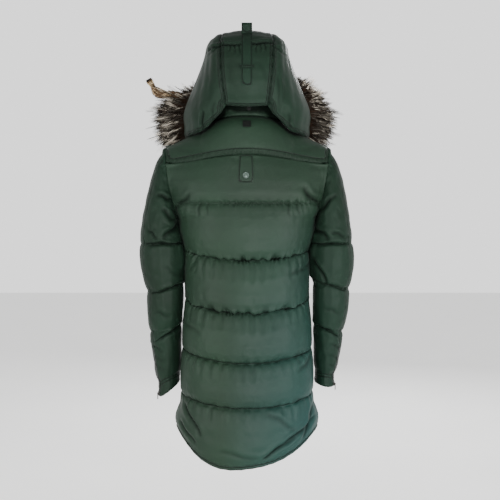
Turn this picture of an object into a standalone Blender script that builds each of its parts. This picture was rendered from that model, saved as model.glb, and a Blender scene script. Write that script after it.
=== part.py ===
"""Fur trimmed parka: a long quilted coat with a hood, filled out as worn and hollow inside.

Metres, +Z up. The wearer faces +Y, so the back of the coat is on -Y and +X is the wearer's right.
The origin is the middle of the neck at shoulder height, where the wearer's shoulders carry the coat.
Each panel is a closed wall: a plain inside, and an outside raised into sewn-down puffs.
"""
import math
from collections import namedtuple

import bmesh
import bpy
import numpy as np
from mathutils import Matrix, Vector

# ------------------------------------------------------------------ driving sizes
SEAM_GAP = 0.0003
WALL = 0.003
UNDERARM = -0.252
SHOULDER_TIP = -0.070
CHEST_HALF_WIDTH = 0.180
SHOULDER_HALF_WIDTH = 0.212
ARMHOLE_HALF_DEPTH = 0.056
RING_SQUARENESS = 0.04
NECK_HALF_WIDTH = 0.100
NECK_HALF_DEPTH = 0.072
NECK_CENTRE_Y = 0.010
ZIP_HALF_WIDTH = 0.0125
COLLAR_HEIGHT = 0.056
HEM_BAND_HEIGHT = 0.010
STRAP_WIDTH = 0.027
TAB_LEFT = 1.72
TAB_RIGHT = 1.38
TAB_LENGTH = 2.80
TAB_SNAP_ROW = 2.30

BACK_COLUMNS = 40
SHOULDER_COLUMNS = 8
FRONT_COLUMNS = 14
YOKE_ROWS = 4
ROWS_TO_UNDERARM = 28
ROWS_TO_YOKE = 36

BACK_FULLNESS = 0.0145
SIDE_FULLNESS = 0.0040
FRONT_FULLNESS = 0.0120
SLEEVE_FULLNESS = 0.0060
PUCKER_BELOW_LINE = 0.0038
PUCKER_ABOVE_LINE = 0.0022
PUCKER_SWAY = 0.0026
HEM_SKEW = 0.022

TorsoRow = namedtuple("TorsoRow", "height half_width back_depth front_depth")
TORSO = (
    TorsoRow(-0.900, 0.176, 0.124, 0.118),
    TorsoRow(-0.800, 0.174, 0.123, 0.118),
    TorsoRow(-0.713, 0.172, 0.121, 0.118),
    TorsoRow(-0.596, 0.168, 0.117, 0.117),
    TorsoRow(-0.464, 0.160, 0.110, 0.115),
    TorsoRow(-0.335, 0.162, 0.107, 0.118),
    TorsoRow(-0.252, 0.180, 0.112, 0.122),
    TorsoRow(-0.170, 0.180, 0.114, 0.120),
    TorsoRow(-0.095, 0.180, 0.106, 0.115),
)

QuiltLine = namedtuple("QuiltLine", "side centre_back centre_front")
QUILT_LINES = (
    QuiltLine(-0.800, -0.881, -0.806),
    QuiltLine(-0.713, -0.735, -0.718),
    QuiltLine(-0.596, -0.621, -0.604),
    QuiltLine(-0.464, -0.494, -0.474),
    QuiltLine(-0.335, -0.360, -0.344),
    QuiltLine(-0.2147, -0.216, -0.217),
    QuiltLine(-0.115, -0.095, -0.120),
)
CELL_STEPS = (0.0, 0.07, 0.22, 0.45, 0.69, 0.92)
CHEST_CELL_STEPS = (0.0, 0.07, 0.22, 0.45, 0.69, 0.80, 0.92)
TOP_CELL_STEPS = (0.0, 0.08, 0.35, 0.65, 0.92)
CELL_FULLNESS = (0.75, 1.0, 1.0, 1.0, 0.95, 0.62)

SleeveRing = namedtuple("SleeveRing", "outer_x outer_z inner_x inner_z mid_y half_depth")
RIGHT_SLEEVE = (
    SleeveRing(0.2120, -0.0700, 0.1800, -0.2520, 0.000, 0.056),
    SleeveRing(0.2290, -0.1020, 0.1840, -0.2600, 0.000, 0.063),
    SleeveRing(0.2450, -0.1500, 0.1830, -0.2720, 0.000, 0.069),
    SleeveRing(0.2570, -0.2050, 0.1810, -0.2880, 0.000, 0.073),
    SleeveRing(0.2680, -0.2650, 0.1770, -0.3060, 0.000, 0.075),
    SleeveRing(0.2760, -0.3190, 0.1730, -0.3220, 0.000, 0.073),
    SleeveRing(0.2770, -0.3750, 0.1730, -0.3750, 0.002, 0.072),
    SleeveRing(0.2690, -0.4400, 0.1770, -0.4280, 0.008, 0.067),
    SleeveRing(0.2640, -0.4950, 0.1790, -0.4850, 0.014, 0.064),
    SleeveRing(0.2540, -0.5550, 0.1800, -0.5400, 0.023, 0.058),
    SleeveRing(0.2470, -0.6050, 0.1830, -0.5950, 0.031, 0.053),
    SleeveRing(0.2360, -0.6720, 0.1840, -0.6620, 0.040, 0.047),
    SleeveRing(0.2330, -0.7080, 0.1870, -0.7000, 0.044, 0.047),
)
LEFT_SLEEVE = (
    SleeveRing(0.2120, -0.0700, 0.1800, -0.2520, 0.000, 0.056),
    SleeveRing(0.2300, -0.1020, 0.1840, -0.2600, 0.000, 0.063),
    SleeveRing(0.2460, -0.1500, 0.1830, -0.2720, 0.000, 0.069),
    SleeveRing(0.2600, -0.2050, 0.1800, -0.2880, 0.000, 0.073),
    SleeveRing(0.2730, -0.2650, 0.1750, -0.3060, 0.000, 0.075),
    SleeveRing(0.2800, -0.3210, 0.1710, -0.3220, 0.000, 0.073),
    SleeveRing(0.2760, -0.3750, 0.1700, -0.3750, 0.002, 0.072),
    SleeveRing(0.2640, -0.4460, 0.1710, -0.4300, 0.008, 0.067),
    SleeveRing(0.2600, -0.4950, 0.1740, -0.4850, 0.014, 0.064),
    SleeveRing(0.2580, -0.5560, 0.1780, -0.5400, 0.023, 0.058),
    SleeveRing(0.2500, -0.6100, 0.1810, -0.6000, 0.031, 0.053),
    SleeveRing(0.2410, -0.6950, 0.1820, -0.6680, 0.040, 0.047),
    SleeveRing(0.2360, -0.7380, 0.1870, -0.7000, 0.044, 0.047),
)
SLEEVE_CELLS = ((5, 7), (7, 9), (9, 11))
SLEEVE_CAP_STEPS = (0.0, 0.5, 1.0, 1.7, 2.5, 3.3, 4.1, 4.7)
SLEEVE_CLEARANCE = 0.0038
ARMPIT_TOP = -0.207
ARMPIT_EASE = 0.030
CUFF_ZIP_COLUMN = 9.1
CUFF_TAPE_HALF = 0.4
SADDLE_BAND_REACH = 0.9
CUFF_ZIP_TOP = 9.8
HUG_REACH = 0.010
HUG_END = -0.430

HoodRib = namedtuple("HoodRib", "y z half_width")
HOOD_CENTRE_LINE = (
    HoodRib(-0.112, 0.026, 0.052),
    HoodRib(-0.131, 0.068, 0.058),
    HoodRib(-0.135, 0.113, 0.062),
    HoodRib(-0.124, 0.160, 0.064),
    HoodRib(-0.097, 0.199, 0.064),
    HoodRib(-0.052, 0.222, 0.063),
    HoodRib(0.004, 0.229, 0.062),
    HoodRib(0.070, 0.219, 0.061),
    HoodRib(0.130, 0.196, 0.060),
)
HOOD_BACK_ROWS = 12
HOOD_TOP_ROWS = 12
HOOD_CROWN = 0.010
HOOD_CENTRE_COLUMNS = 8
HOOD_CORNER_RIB = 4

Place = namedtuple("Place", "x y z")
HOOD_LOWER_EDGE = (
    Place(0.052, -0.108, 0.023),
    Place(0.082, -0.100, -0.006),
    Place(0.108, -0.082, -0.030),
    Place(0.138, -0.042, -0.038),
    Place(0.158, 0.028, -0.041),
    Place(0.154, 0.106, -0.041),
)
HOOD_FACE_EDGE = (
    Place(0.154, 0.106, -0.041),
    Place(0.160, 0.112, 0.020),
    Place(0.146, 0.118, 0.066),
    Place(0.115, 0.127, 0.116),
    Place(0.085, 0.132, 0.156),
    Place(0.060, 0.130, 0.187),
)
HoodSwell = namedtuple("HoodSwell", "rise out")
HOOD_SWELL = (
    HoodSwell(0.00, 0.000),
    HoodSwell(0.15, 0.010),
    HoodSwell(0.38, 0.008),
    HoodSwell(0.58, 0.013),
    HoodSwell(0.76, 0.020),
    HoodSwell(0.89, 0.022),
    HoodSwell(1.00, 0.000),
)

FurSection = namedtuple("FurSection", "x y z length")
FUR_PATH = (
    FurSection(-0.112, 0.126, -0.070, 0.056),
    FurSection(-0.140, 0.123, -0.048, 0.092),
    FurSection(-0.160, 0.124, -0.006, 0.107),
    FurSection(-0.160, 0.128, 0.030, 0.110),
    FurSection(-0.138, 0.138, 0.064, 0.084),
    FurSection(-0.104, 0.150, 0.112, 0.030),
    FurSection(-0.060, 0.153, 0.156, 0.038),
    FurSection(0.000, 0.154, 0.174, 0.050),
    FurSection(0.060, 0.153, 0.160, 0.040),
    FurSection(0.098, 0.150, 0.132, 0.036),
    FurSection(0.134, 0.138, 0.090, 0.082),
    FurSection(0.159, 0.128, 0.046, 0.100),
    FurSection(0.159, 0.124, 0.002, 0.098),
    FurSection(0.140, 0.123, -0.042, 0.086),
    FurSection(0.114, 0.126, -0.068, 0.054),
)
FUR_SECTIONS = 72
FUR_AROUND = 10
FUR_HALF_THICKNESS = 0.030
FUR_BEHIND = 0.5
FUR_LEAN = 0.12
FUR_CENTRE = Vector((0.0, 0.0, 0.045))
FUR_TAIL = Place(-0.280, 0.128, 0.134)
FUR_TAIL_SECTION = 19
FUR_TAIL_SHARE = (1.0, 0.45)

rng = np.random.default_rng(11)


# ------------------------------------------------------------------ curves and tables
def read(table, key, value, at):
    """Reads one named column of a table at any key, on a smooth curve through its rows."""
    rows = sorted(table, key=lambda row: getattr(row, key))
    x = np.array([getattr(row, key) for row in rows])
    y = np.array([getattr(row, value) for row in rows])
    slope = np.gradient(y, x)
    at = min(max(at, x[0]), x[-1])
    k = int(np.clip(np.searchsorted(x, at) - 1, 0, len(x) - 2))
    step = x[k + 1] - x[k]
    t = (at - x[k]) / step
    start = (1 + 2 * t) * (1 - t) ** 2 * y[k] + t * (1 - t) ** 2 * step * slope[k]
    end = t * t * (3 - 2 * t) * y[k + 1] + t * t * (t - 1) * step * slope[k + 1]
    return start + end


def numbered(table):
    """A table whose rows are read by their number."""
    row_type = namedtuple("Numbered", ("number",) + table[0]._fields)
    return [row_type(number, *row) for number, row in enumerate(table)]


def smooth_line(table, count):
    """Points on a smooth curve through a table of places, evenly spread over its rows."""
    rows = numbered(table)
    stations = np.linspace(0, len(table) - 1, count + 1)
    return np.array([[read(rows, "number", axis, s) for axis in "xyz"] for s in stations])


def smooth_step(value):
    """0 below 0, 1 above 1, and an S-shaped rise between."""
    t = min(max(value, 0.0), 1.0)
    return t * t * (3 - 2 * t)


def unit(vectors):
    """Vectors along the last axis, at length 1."""
    return vectors / np.linalg.norm(vectors, axis=-1, keepdims=True)


def mirrored(points):
    """The same points on the other side of the body."""
    return points * np.array([-1.0, 1.0, 1.0])


def puff(fraction):
    """Height of a filled cell from one sewn line (0) to the next (1), fuller in its lower half."""
    return math.sin(math.pi * min(max(fraction, 0.0), 1.0) ** 0.85) ** 0.6


def coons(lower, upper, first, last, spread):
    """A patch between four edges: lower and upper run along it, first and last go up its ends."""
    columns = len(lower)
    rows = len(first)
    grid = np.zeros((columns, rows, 3))
    for i in range(columns):
        s = i / (columns - 1)
        for j in range(rows):
            t = spread[j]
            ruled = lower[i] * (1 - t) + upper[i] * t
            first_fix = first[j] - (lower[0] * (1 - t) + upper[0] * t)
            last_fix = last[j] - (lower[-1] * (1 - t) + upper[-1] * t)
            grid[i, j] = ruled + first_fix * (1 - s) + last_fix * s
    return grid


# ------------------------------------------------------------------ walls
class Panel:
    """A cut piece: a grid of points on its sewn surface, how far each is raised, and its wall."""

    def __init__(self, name, base, raised, material, inside, closed=False, thickness=WALL):
        self.name = name
        self.base = base
        self.raised = raised
        self.material = material
        self.closed = closed
        self.thickness = thickness
        self.normals = self.facing(inside)

    def facing(self, inside):
        """Normals of the sewn surface, turned away from a point inside the coat."""
        if self.closed:
            along = np.roll(self.base, -1, axis=0) - np.roll(self.base, 1, axis=0)
        else:
            along = np.gradient(self.base, axis=0)
        up = np.gradient(self.base, axis=1)
        normals = unit(np.cross(along, up))
        if np.sum(normals * (self.base - inside)) < 0:
            normals = -normals
        return normals

    def outer(self):
        """Points of the raised outside."""
        return self.base + self.normals * self.raised[..., None]

    def inner(self):
        """Points of the plain inside, on every second row and column."""
        return (self.base - self.normals * self.thickness)[::2, ::2]

    def build(self):
        """Makes the closed wall."""
        return wall_object(self.name, self.outer(), self.inner(), self.material, self.closed)


def share_normal(*places):
    """Gives one normal to a corner or seam point that several panels share."""
    total = sum(panel.normals[i, j] for panel, i, j in places)
    shared = total / np.linalg.norm(total)
    for panel, i, j in places:
        panel.normals[i, j] = shared


def inset(panel, i, j, di, dj, amount):
    """Draws an edge point back along the panel, towards its neighbour at (di, dj)."""
    towards = panel.base[i + di, j + dj] - panel.base[i, j]
    panel.base[i, j] += unit(towards) * amount


def new_object(name, mesh, material):
    """Links a mesh to the coat's collection under its name, with its material."""
    thing = bpy.data.objects.new(name, mesh)
    mesh.materials.append(material)
    coat.objects.link(thing)
    return thing


def wall_object(name, outer, inner, material, closed=False):
    """A closed wall from an outer grid and an inner grid of half as many steps each way."""
    bm = bmesh.new()
    out = [[bm.verts.new(point) for point in column] for column in outer]
    ins = [[bm.verts.new(point) for point in column] for column in inner]
    add_sheet(bm, out, closed)
    add_sheet(bm, ins, closed)
    columns = len(out)
    rows = len(out[0])
    spans = len(ins) if closed else len(ins) - 1
    for k in range(spans):
        i = 2 * k
        after = (i + 2) % columns
        for row, inner_row in ((0, 0), (rows - 1, -1)):
            near = ins[k][inner_row]
            far = ins[(k + 1) % len(ins)][inner_row]
            add_rim(bm, (out[i][row], out[i + 1][row], out[after][row]), near, far)
    if not closed:
        for k in range(len(ins[0]) - 1):
            j = 2 * k
            for column, inner_column in ((0, 0), (columns - 1, -1)):
                near = ins[inner_column][k]
                far = ins[inner_column][k + 1]
                add_rim(bm, out[column][j:j + 3], near, far)
    return finish_mesh(bm, name, material)


def add_rim(bm, outside, near, far):
    """Three faces across the wall's edge, from three outer points to the two inner ones."""
    first, middle, last = outside
    bm.faces.new((first, middle, near))
    bm.faces.new((middle, far, near))
    bm.faces.new((middle, last, far))


def add_sheet(bm, grid, closed):
    """Quads over a grid of vertices."""
    columns = len(grid) if closed else len(grid) - 1
    for i in range(columns):
        here = grid[i]
        there = grid[(i + 1) % len(grid)]
        for j in range(len(here) - 1):
            bm.faces.new((here[j], there[j], there[j + 1], here[j + 1]))


def finish_mesh(bm, name, material, smooth=True):
    """Turns a bmesh into a named object with its faces pointing out."""
    bmesh.ops.recalc_face_normals(bm, faces=bm.faces)
    mesh = bpy.data.meshes.new(name)
    bm.to_mesh(mesh)
    bm.free()
    if smooth:
        mesh.shade_smooth()
        mesh.set_sharp_from_angle(angle=math.radians(50))
    return new_object(name, mesh, material)


def strip(name, outer_points, normals, lift, thickness, material):
    """A strip that lies on a panel: the panel's points moved out, with a thickness of its own."""
    bottom = outer_points + normals * lift
    top = outer_points + normals * (lift + thickness)
    bm = bmesh.new()
    low = [[bm.verts.new(point) for point in column] for column in bottom]
    high = [[bm.verts.new(point) for point in column] for column in top]
    add_sheet(bm, low, False)
    add_sheet(bm, high, False)
    columns = len(low)
    rows = len(low[0])
    for i in range(columns - 1):
        for j in (0, rows - 1):
            bm.faces.new((low[i][j], low[i + 1][j], high[i + 1][j], high[i][j]))
    for j in range(rows - 1):
        for i in (0, columns - 1):
            bm.faces.new((low[i][j], low[i][j + 1], high[i][j + 1], high[i][j]))
    return finish_mesh(bm, name, material)


def grid_at(grid, i, j):
    """A point of a grid at fractional column and row."""
    i0 = int(min(math.floor(i), grid.shape[0] - 2))
    j0 = int(min(math.floor(j), grid.shape[1] - 2))
    s = i - i0
    t = j - j0
    low = grid[i0, j0] * (1 - s) + grid[i0 + 1, j0] * s
    high = grid[i0, j0 + 1] * (1 - s) + grid[i0 + 1, j0 + 1] * s
    return low * (1 - t) + high * t


def cut_out(grid, first_i, last_i, first_j, last_j):
    """The part of a grid between fractional columns and rows, keeping the grid's own lines."""
    columns = stations_between(first_i, last_i)
    rows = stations_between(first_j, last_j)
    return np.array([[grid_at(grid, i, j) for j in rows] for i in columns])


def stations_between(first, last):
    """Both ends and every whole number between them."""
    inner = [k for k in range(math.ceil(first), math.floor(last) + 1) if first < k < last]
    return [first] + inner + [last]


def lay_on(panel, name, span, lift, thickness, material):
    """Lays a strip on a panel over (first column, last column, first row, last row)."""
    points = cut_out(panel.outer(), *span)
    normals = unit(cut_out(panel.normals, *span))
    return strip(name, points, normals, lift, thickness, material)


# ------------------------------------------------------------------ torso
def build_rows():
    """Every row's (side height, centre back, centre front, cell, place in the cell)."""
    rows = []
    for cell in range(len(QUILT_LINES) - 1):
        low = QUILT_LINES[cell]
        high = QUILT_LINES[cell + 1]
        steps = {4: CHEST_CELL_STEPS, 5: TOP_CELL_STEPS}.get(cell, CELL_STEPS)
        for step in steps:
            heights = [a + (b - a) * step for a, b in zip(low, high)]
            rows.append((*heights, cell, step))
    rows.append((*QUILT_LINES[-1], len(QUILT_LINES) - 2, 1.0))
    return rows


def armhole(height):
    """Half width and set-back of the armhole's edge at a height."""
    middle = (UNDERARM + SHOULDER_TIP) / 2
    half = (SHOULDER_TIP - UNDERARM) / 2
    across = min(max((height - middle) / half, -1.0), 1.0)
    rise = min(max((height - UNDERARM) / (2 * half), 0.0), 1.0)
    widening = (SHOULDER_HALF_WIDTH - CHEST_HALF_WIDTH) * math.sin(rise * math.pi / 2) ** 0.9
    return CHEST_HALF_WIDTH + widening, ARMHOLE_HALF_DEPTH * math.sqrt(1 - across ** 2)


def ring_point(turn, side, middle, depth_name):
    """A point of the body at an angle from the centre line, between a row's heights."""
    sine = math.sin(turn)
    cosine = math.cos(turn)
    height = middle + (side - middle) * abs(sine) ** (2.6 if side < -0.75 else 2.0)
    depth = read(TORSO, "height", depth_name, middle)
    square = RING_SQUARENESS * math.sin(2 * turn) ** 2
    if side <= UNDERARM + 1e-6:
        width = read(TORSO, "height", "half_width", side)
        return np.array([width * sine * (1 + square), depth * cosine * (1 + square), height])
    width, set_back = armhole(side)
    roundness = min(max((side - QUILT_LINES[-1].side) / (UNDERARM - QUILT_LINES[-1].side), 0), 1)
    across = roundness * sine * (1 + square) + (1 - roundness) * turn / (math.pi / 2)
    reach = set_back + (depth - set_back) * cosine * (1 + square * roundness)
    return np.array([width * across, reach, height])


def vent_flare(turn, side):
    """How far the open side vent stands out from the body."""
    drop = smooth_step((-0.735 - side) / 0.050)
    return 0.013 * drop * abs(math.sin(turn)) ** 12


def sway(waves, cell, step, i):
    """How far a pucker moves the cloth up or down beside the sewn lines."""
    below = waves[cell][i] * max(0.0, 1 - step / 0.35)
    above = waves[cell + 1][i] * max(0.0, 1 - (1 - step) / 0.35)
    return PUCKER_SWAY * (below + above)


def back_base(rows, waves):
    """The back panel's sewn surface, from the hem to the yoke seam."""
    grid = np.zeros((BACK_COLUMNS + 1, len(rows), 3))
    for i in range(BACK_COLUMNS + 1):
        turn = math.radians(-90 + 180 * i / BACK_COLUMNS)
        for j, (side, centre, _, cell, step) in enumerate(rows):
            point = ring_point(turn, side, centre, "back_depth")
            point[0] += math.copysign(vent_flare(turn, side), turn)
            point[1] = -point[1]
            if 0 < i < BACK_COLUMNS:
                point[2] += sway(waves, cell, step, i)
            if cell == 0:
                point[2] += HEM_SKEW * math.sin(turn) * math.cos(turn) ** 2 * (1 - step)
            grid[i, j] = point
    return grid


def gather_waves(columns, lines):
    """One uneven pucker to every second column, for each sewn line."""
    size = rng.uniform(0.10, 1.0, (lines, columns))
    sign = np.where(np.arange(columns) % 2 == 0, 1.0, -1.0)
    return size * sign


def pucker(cell, step, waves, i):
    """A pucker's height at a column: sharp under each sewn line, softer above it."""
    above_line = waves[cell][i] * max(0.0, 1 - step / 0.45) * PUCKER_ABOVE_LINE
    below_line = waves[cell + 1][i] * max(0.0, 1 - (1 - step) / 0.55) * PUCKER_BELOW_LINE
    return (above_line + below_line) * min(1.0, 8 * min(step, 1 - step))


def back_waves():
    """The back's puckers: few at the hem and the yoke seam, most along the four lower lines."""
    waves = gather_waves(BACK_COLUMNS + 1, len(QUILT_LINES))
    waves[0] *= 0.3
    waves[5] *= 0.35
    waves[6] *= 0.0
    return waves


def back_raise(rows, waves):
    """How far the back's puffs stand out at each point."""
    raised = np.zeros((BACK_COLUMNS + 1, len(rows)))
    for i in range(BACK_COLUMNS + 1):
        turn = math.radians(-90 + 180 * i / BACK_COLUMNS)
        fullness = SIDE_FULLNESS + (BACK_FULLNESS - SIDE_FULLNESS) * math.cos(turn) ** 1.3
        for j, (side, _, _, cell, step) in enumerate(rows):
            near_arm = smooth_step((side - UNDERARM + 0.045) / 0.045)
            edge = 1 - near_arm * smooth_step((abs(math.degrees(turn)) - 58) / 32)
            height = puff(step) * fullness * CELL_FULLNESS[cell]
            fade = edge * smooth_step(2.2 * math.cos(turn) - 0.3)
            raised[i, j] = height * edge + pucker(cell, step, waves, i) * fade
    return raised


def neck(turn):
    """A point of the neck seam, at an angle from the centre back."""
    drop = 0.019 * max(math.cos(turn), 0.0) - 0.041 * max(-math.cos(turn), 0.0) ** 1.5
    return np.array([
        NECK_HALF_WIDTH * math.sin(turn),
        NECK_CENTRE_Y - NECK_HALF_DEPTH * math.cos(turn),
        -0.014 + drop,
    ])


def shoulder_line():
    """Points of the right shoulder seam, from the tip to the neck."""
    tip = np.array([SHOULDER_HALF_WIDTH, 0.0, SHOULDER_TIP])
    corner = neck(math.pi / 2)
    steps = np.linspace(0, 1, SHOULDER_COLUMNS + 1)
    hollow = np.array([0.0, 0.0, -0.004])
    return np.array([tip + (corner - tip) * t + hollow * math.sin(math.pi * t) for t in steps])


def armhole_side(heights, back=True):
    """Points of the right armhole edge at some heights."""
    points = []
    for height in heights:
        width, set_back = armhole(height)
        points.append([width, -set_back if back else set_back, height])
    return np.array(points)


def yoke_heights():
    """Heights on the armhole from the yoke seam to the shoulder tip, evenly round its curve."""
    middle = (UNDERARM + SHOULDER_TIP) / 2
    half = (SHOULDER_TIP - UNDERARM) / 2
    start = math.acos((middle - QUILT_LINES[-1].side) / half)
    return [middle - half * math.cos(turn) for turn in np.linspace(start, math.pi, YOKE_ROWS + 1)]


def arch(grid, out, spread):
    """Rounds a patch outwards between its lower and upper edges."""
    for i in range(grid.shape[0]):
        end = math.sin(math.pi * i / (grid.shape[0] - 1)) ** 0.5
        for j, t in enumerate(spread):
            grid[i, j] += np.array(out) * math.sin(math.pi * t) * end
    return grid


def yoke_base(back):
    """The yoke's sewn surface, from the back panel up to the shoulder seams and the neck."""
    shoulder = shoulder_line()
    neck_count = BACK_COLUMNS - 2 * SHOULDER_COLUMNS
    turns = np.linspace(-math.pi / 2, math.pi / 2, neck_count + 1)
    top = np.vstack([mirrored(shoulder)[:-1], [neck(turn) for turn in turns], shoulder[::-1][1:]])
    right = armhole_side(yoke_heights())
    spread = np.linspace(0, 1, YOKE_ROWS + 1)
    grid = coons(back[:, -1], top, mirrored(right), right, spread)
    return arch(grid, (0.0, -0.010, 0.014), spread)


def front_base(rows):
    """The right front's sewn surface: rings up to the underarm, then a patch to the neck."""
    lower = np.zeros((FRONT_COLUMNS + 1, ROWS_TO_UNDERARM + 1, 3))
    for j, (side, _, centre, _, _) in enumerate(rows[:ROWS_TO_UNDERARM + 1]):
        width = read(TORSO, "height", "half_width", side)
        last = math.asin(ZIP_HALF_WIDTH / width)
        for i in range(FRONT_COLUMNS + 1):
            turn = math.pi / 2 + (last - math.pi / 2) * i / FRONT_COLUMNS
            point = ring_point(turn, side, centre, "front_depth")
            point[0] += 0.3 * vent_flare(turn, side)
            lower[i, j] = point
        lower[-1, j, 0] = ZIP_HALF_WIDTH
    heights = [row[0] for row in rows[ROWS_TO_UNDERARM:]] + yoke_heights()[1:]
    spread = [(height - UNDERARM) / (SHOULDER_TIP - UNDERARM) for height in heights]
    last_turn = math.pi - math.asin(ZIP_HALF_WIDTH / NECK_HALF_WIDTH)
    turns = np.linspace(math.pi / 2, last_turn, FRONT_COLUMNS - SHOULDER_COLUMNS + 1)
    top = np.vstack([shoulder_line(), [neck(turn) for turn in turns[1:]]])
    side_edge = armhole_side(heights, back=False)
    chest = lower[:, -1]
    centre_edge = np.array([chest[-1] + (top[-1] - chest[-1]) * t for t in spread])
    centre_edge[:, 1] += [0.018 * math.sin(math.pi * t) for t in spread]
    upper = coons(chest, top, side_edge, centre_edge, spread)
    for i in range(FRONT_COLUMNS + 1):
        s = i / FRONT_COLUMNS
        for j, t in enumerate(spread):
            upper[i, j, 1] += 0.030 * math.sin(math.pi * t) * s * (1 - s) * 4 * (1 - t * 0.5)
    return np.concatenate([lower, upper[:, 1:]], axis=1)


def front_raise(rows):
    """How far a front's puffs stand out: four gathered cells, then a plain chest."""
    waves = gather_waves(FRONT_COLUMNS + 1, len(QUILT_LINES))
    waves[0] *= 0.3
    waves[5:] *= 0.3
    count = len(rows) + YOKE_ROWS
    raised = np.zeros((FRONT_COLUMNS + 1, count))
    top_cell = len(rows) - len(TOP_CELL_STEPS) - 1
    for i in range(FRONT_COLUMNS + 1):
        s = i / FRONT_COLUMNS
        swell = math.sin(math.pi * min(s * 1.05, 1.0)) ** 1.2
        zip_edge = smooth_step((1 - s) * 6)
        fullness = (SIDE_FULLNESS + (FRONT_FULLNESS - SIDE_FULLNESS) * swell) * zip_edge
        for j in range(count):
            if j < top_cell:
                side, _, _, cell, step = rows[j]
                near_arm = smooth_step((side - UNDERARM + 0.045) / 0.045)
                height = puff(step) * fullness * CELL_FULLNESS[cell]
                height += pucker(cell, step, waves, i) * zip_edge * smooth_step((s - 0.15) * 5)
            else:
                near_arm = 1.0
                t = (j - top_cell) / (count - 1 - top_cell)
                height = puff(t) * 0.6 * fullness
            raised[i, j] = height * (1 - near_arm * (1 - smooth_step(s * 3.5)))
    return raised


# ------------------------------------------------------------------ sleeves
def sleeve_stations():
    """(table row, cell, place in the cell) of every ring, from the armhole to the cuff."""
    stations = [(step, -1, step / 5) for step in SLEEVE_CAP_STEPS]
    for cell, (low, high) in enumerate(SLEEVE_CELLS):
        stations += [(low + (high - low) * step, cell, step) for step in CELL_STEPS]
    return stations + [(11.0, 3, 0.0), (11.5, 3, 0.5), (12.0, 3, 1.0)]


def sleeve_ring(table, station, turns):
    """Ellipse points of a sleeve at one station; a turn of pi is beside the body."""
    rows = numbered(table)
    ring = SleeveRing(*[read(rows, "number", name, station) for name in SleeveRing._fields])
    outer = np.array([ring.outer_x, ring.mid_y, ring.outer_z])
    inner = np.array([ring.inner_x, ring.mid_y, ring.inner_z])
    depth = np.array([0.0, -ring.half_depth, 0.0])
    middle = (outer + inner) / 2
    half = (outer - inner) / 2
    return np.array([middle + half * math.cos(a) + depth * math.sin(a) for a in turns])


def body_side(y, z):
    """Half width of the puffed body at a place beside the arm."""
    depth_name = "back_depth" if y < 0 else "front_depth"
    depth = read(TORSO, "height", depth_name, z)
    width = read(TORSO, "height", "half_width", z)
    cosine = min(abs(y) / depth, 0.95)
    sine = math.sqrt(1 - cosine ** 2)
    square = RING_SQUARENESS * (2 * sine * cosine) ** 2
    puffed = SIDE_FULLNESS + (BACK_FULLNESS - SIDE_FULLNESS) * min(1.0, 1.4 * cosine)
    return width * sine * (1 + square) + puffed


def sleeve_base(table, loop):
    """A sleeve's sewn surface: the armhole's own shape at the top, eased into ellipses."""
    lengths = np.linalg.norm(np.roll(loop, -1, axis=0) - loop, axis=1)
    share = np.concatenate([[0], np.cumsum(lengths)[:-1]]) / lengths.sum()
    turns = math.pi * (1 - 2 * share)
    start = sleeve_ring(table, 0, turns)
    stations = sleeve_stations()
    grid = np.zeros((len(loop), len(stations), 3))
    for j, (station, _, _) in enumerate(stations):
        ease = max(0.0, 1 - station / 3.2) ** 2
        grid[:, j] = sleeve_ring(table, station, turns) + (loop - start) * ease
        if j == 0:
            continue
        for i in range(len(loop)):
            x, y, z = grid[i, j]
            limit = body_side(y, min(z, UNDERARM)) + SLEEVE_CLEARANCE
            pressed = HUG_REACH * smooth_step((z - HUG_END) / 0.05)
            pressed *= smooth_step((UNDERARM - z) / ARMPIT_EASE)
            if x - limit < pressed:
                share = smooth_step((ARMPIT_TOP - z) / ARMPIT_EASE)
                grid[i, j, 0] = x + (limit - x) * share
    return grid


def sleeve_raise(columns):
    """How far a sleeve's puffs stand out; the side against the body stays flatter."""
    stations = sleeve_stations()
    waves = gather_waves(columns, 5)
    raised = np.zeros((columns, len(stations)))
    for i in range(columns):
        outward = 0.5 - 0.5 * math.cos(2 * math.pi * i / columns)
        for j, (_, cell, step) in enumerate(stations):
            if cell == -1:
                height = 0.9 * puff(1 - step) * SLEEVE_FULLNESS
            elif cell == 3:
                height = 0.30 * puff(step) * SLEEVE_FULLNESS
            else:
                height = puff(1 - step) * SLEEVE_FULLNESS
                height += 0.55 * pucker(cell, 1 - step, waves[::-1], i)
            raised[i, j] = height * (0.45 + 0.55 * outward)
    raised[:, 0] = 0
    raised[:, 1] *= 0.5
    return raised


def armhole_loop(back, yoke, front):
    """(panel, column, row) round the right armhole, from the underarm up the back and down."""
    loop = [(back, -1, j) for j in range(ROWS_TO_UNDERARM, ROWS_TO_YOKE)]
    loop += [(yoke, -1, j) for j in range(YOKE_ROWS + 1)]
    loop += [(front, 0, j) for j in range(front.base.shape[1] - 2, ROWS_TO_UNDERARM, -1)]
    return loop


def loop_points(loop):
    """The loop's points, each the seam gap away from its panel."""
    points = []
    for number, (panel, column, row) in enumerate(loop):
        neighbour = -2 if column == -1 else 1
        away = unit(panel.base[column, row] - panel.base[neighbour, row])
        if number == 0:
            away = np.array([0.5, 0.0, 0.866])
        points.append(panel.base[column, row] + away * SEAM_GAP)
    return np.array(points)


# ------------------------------------------------------------------ hood and ruff
def hood_ribs():
    """Ribs of the hood's centre panel from the back of the neck over the crown."""
    rows = numbered(HOOD_CENTRE_LINE)
    back = np.linspace(0, HOOD_CORNER_RIB, HOOD_BACK_ROWS + 1)
    top = np.linspace(HOOD_CORNER_RIB, len(rows) - 1, HOOD_TOP_ROWS + 1)[1:]
    return [HoodRib(*[read(rows, "number", n, s) for n in HoodRib._fields]) for s in [*back, *top]]


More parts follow.
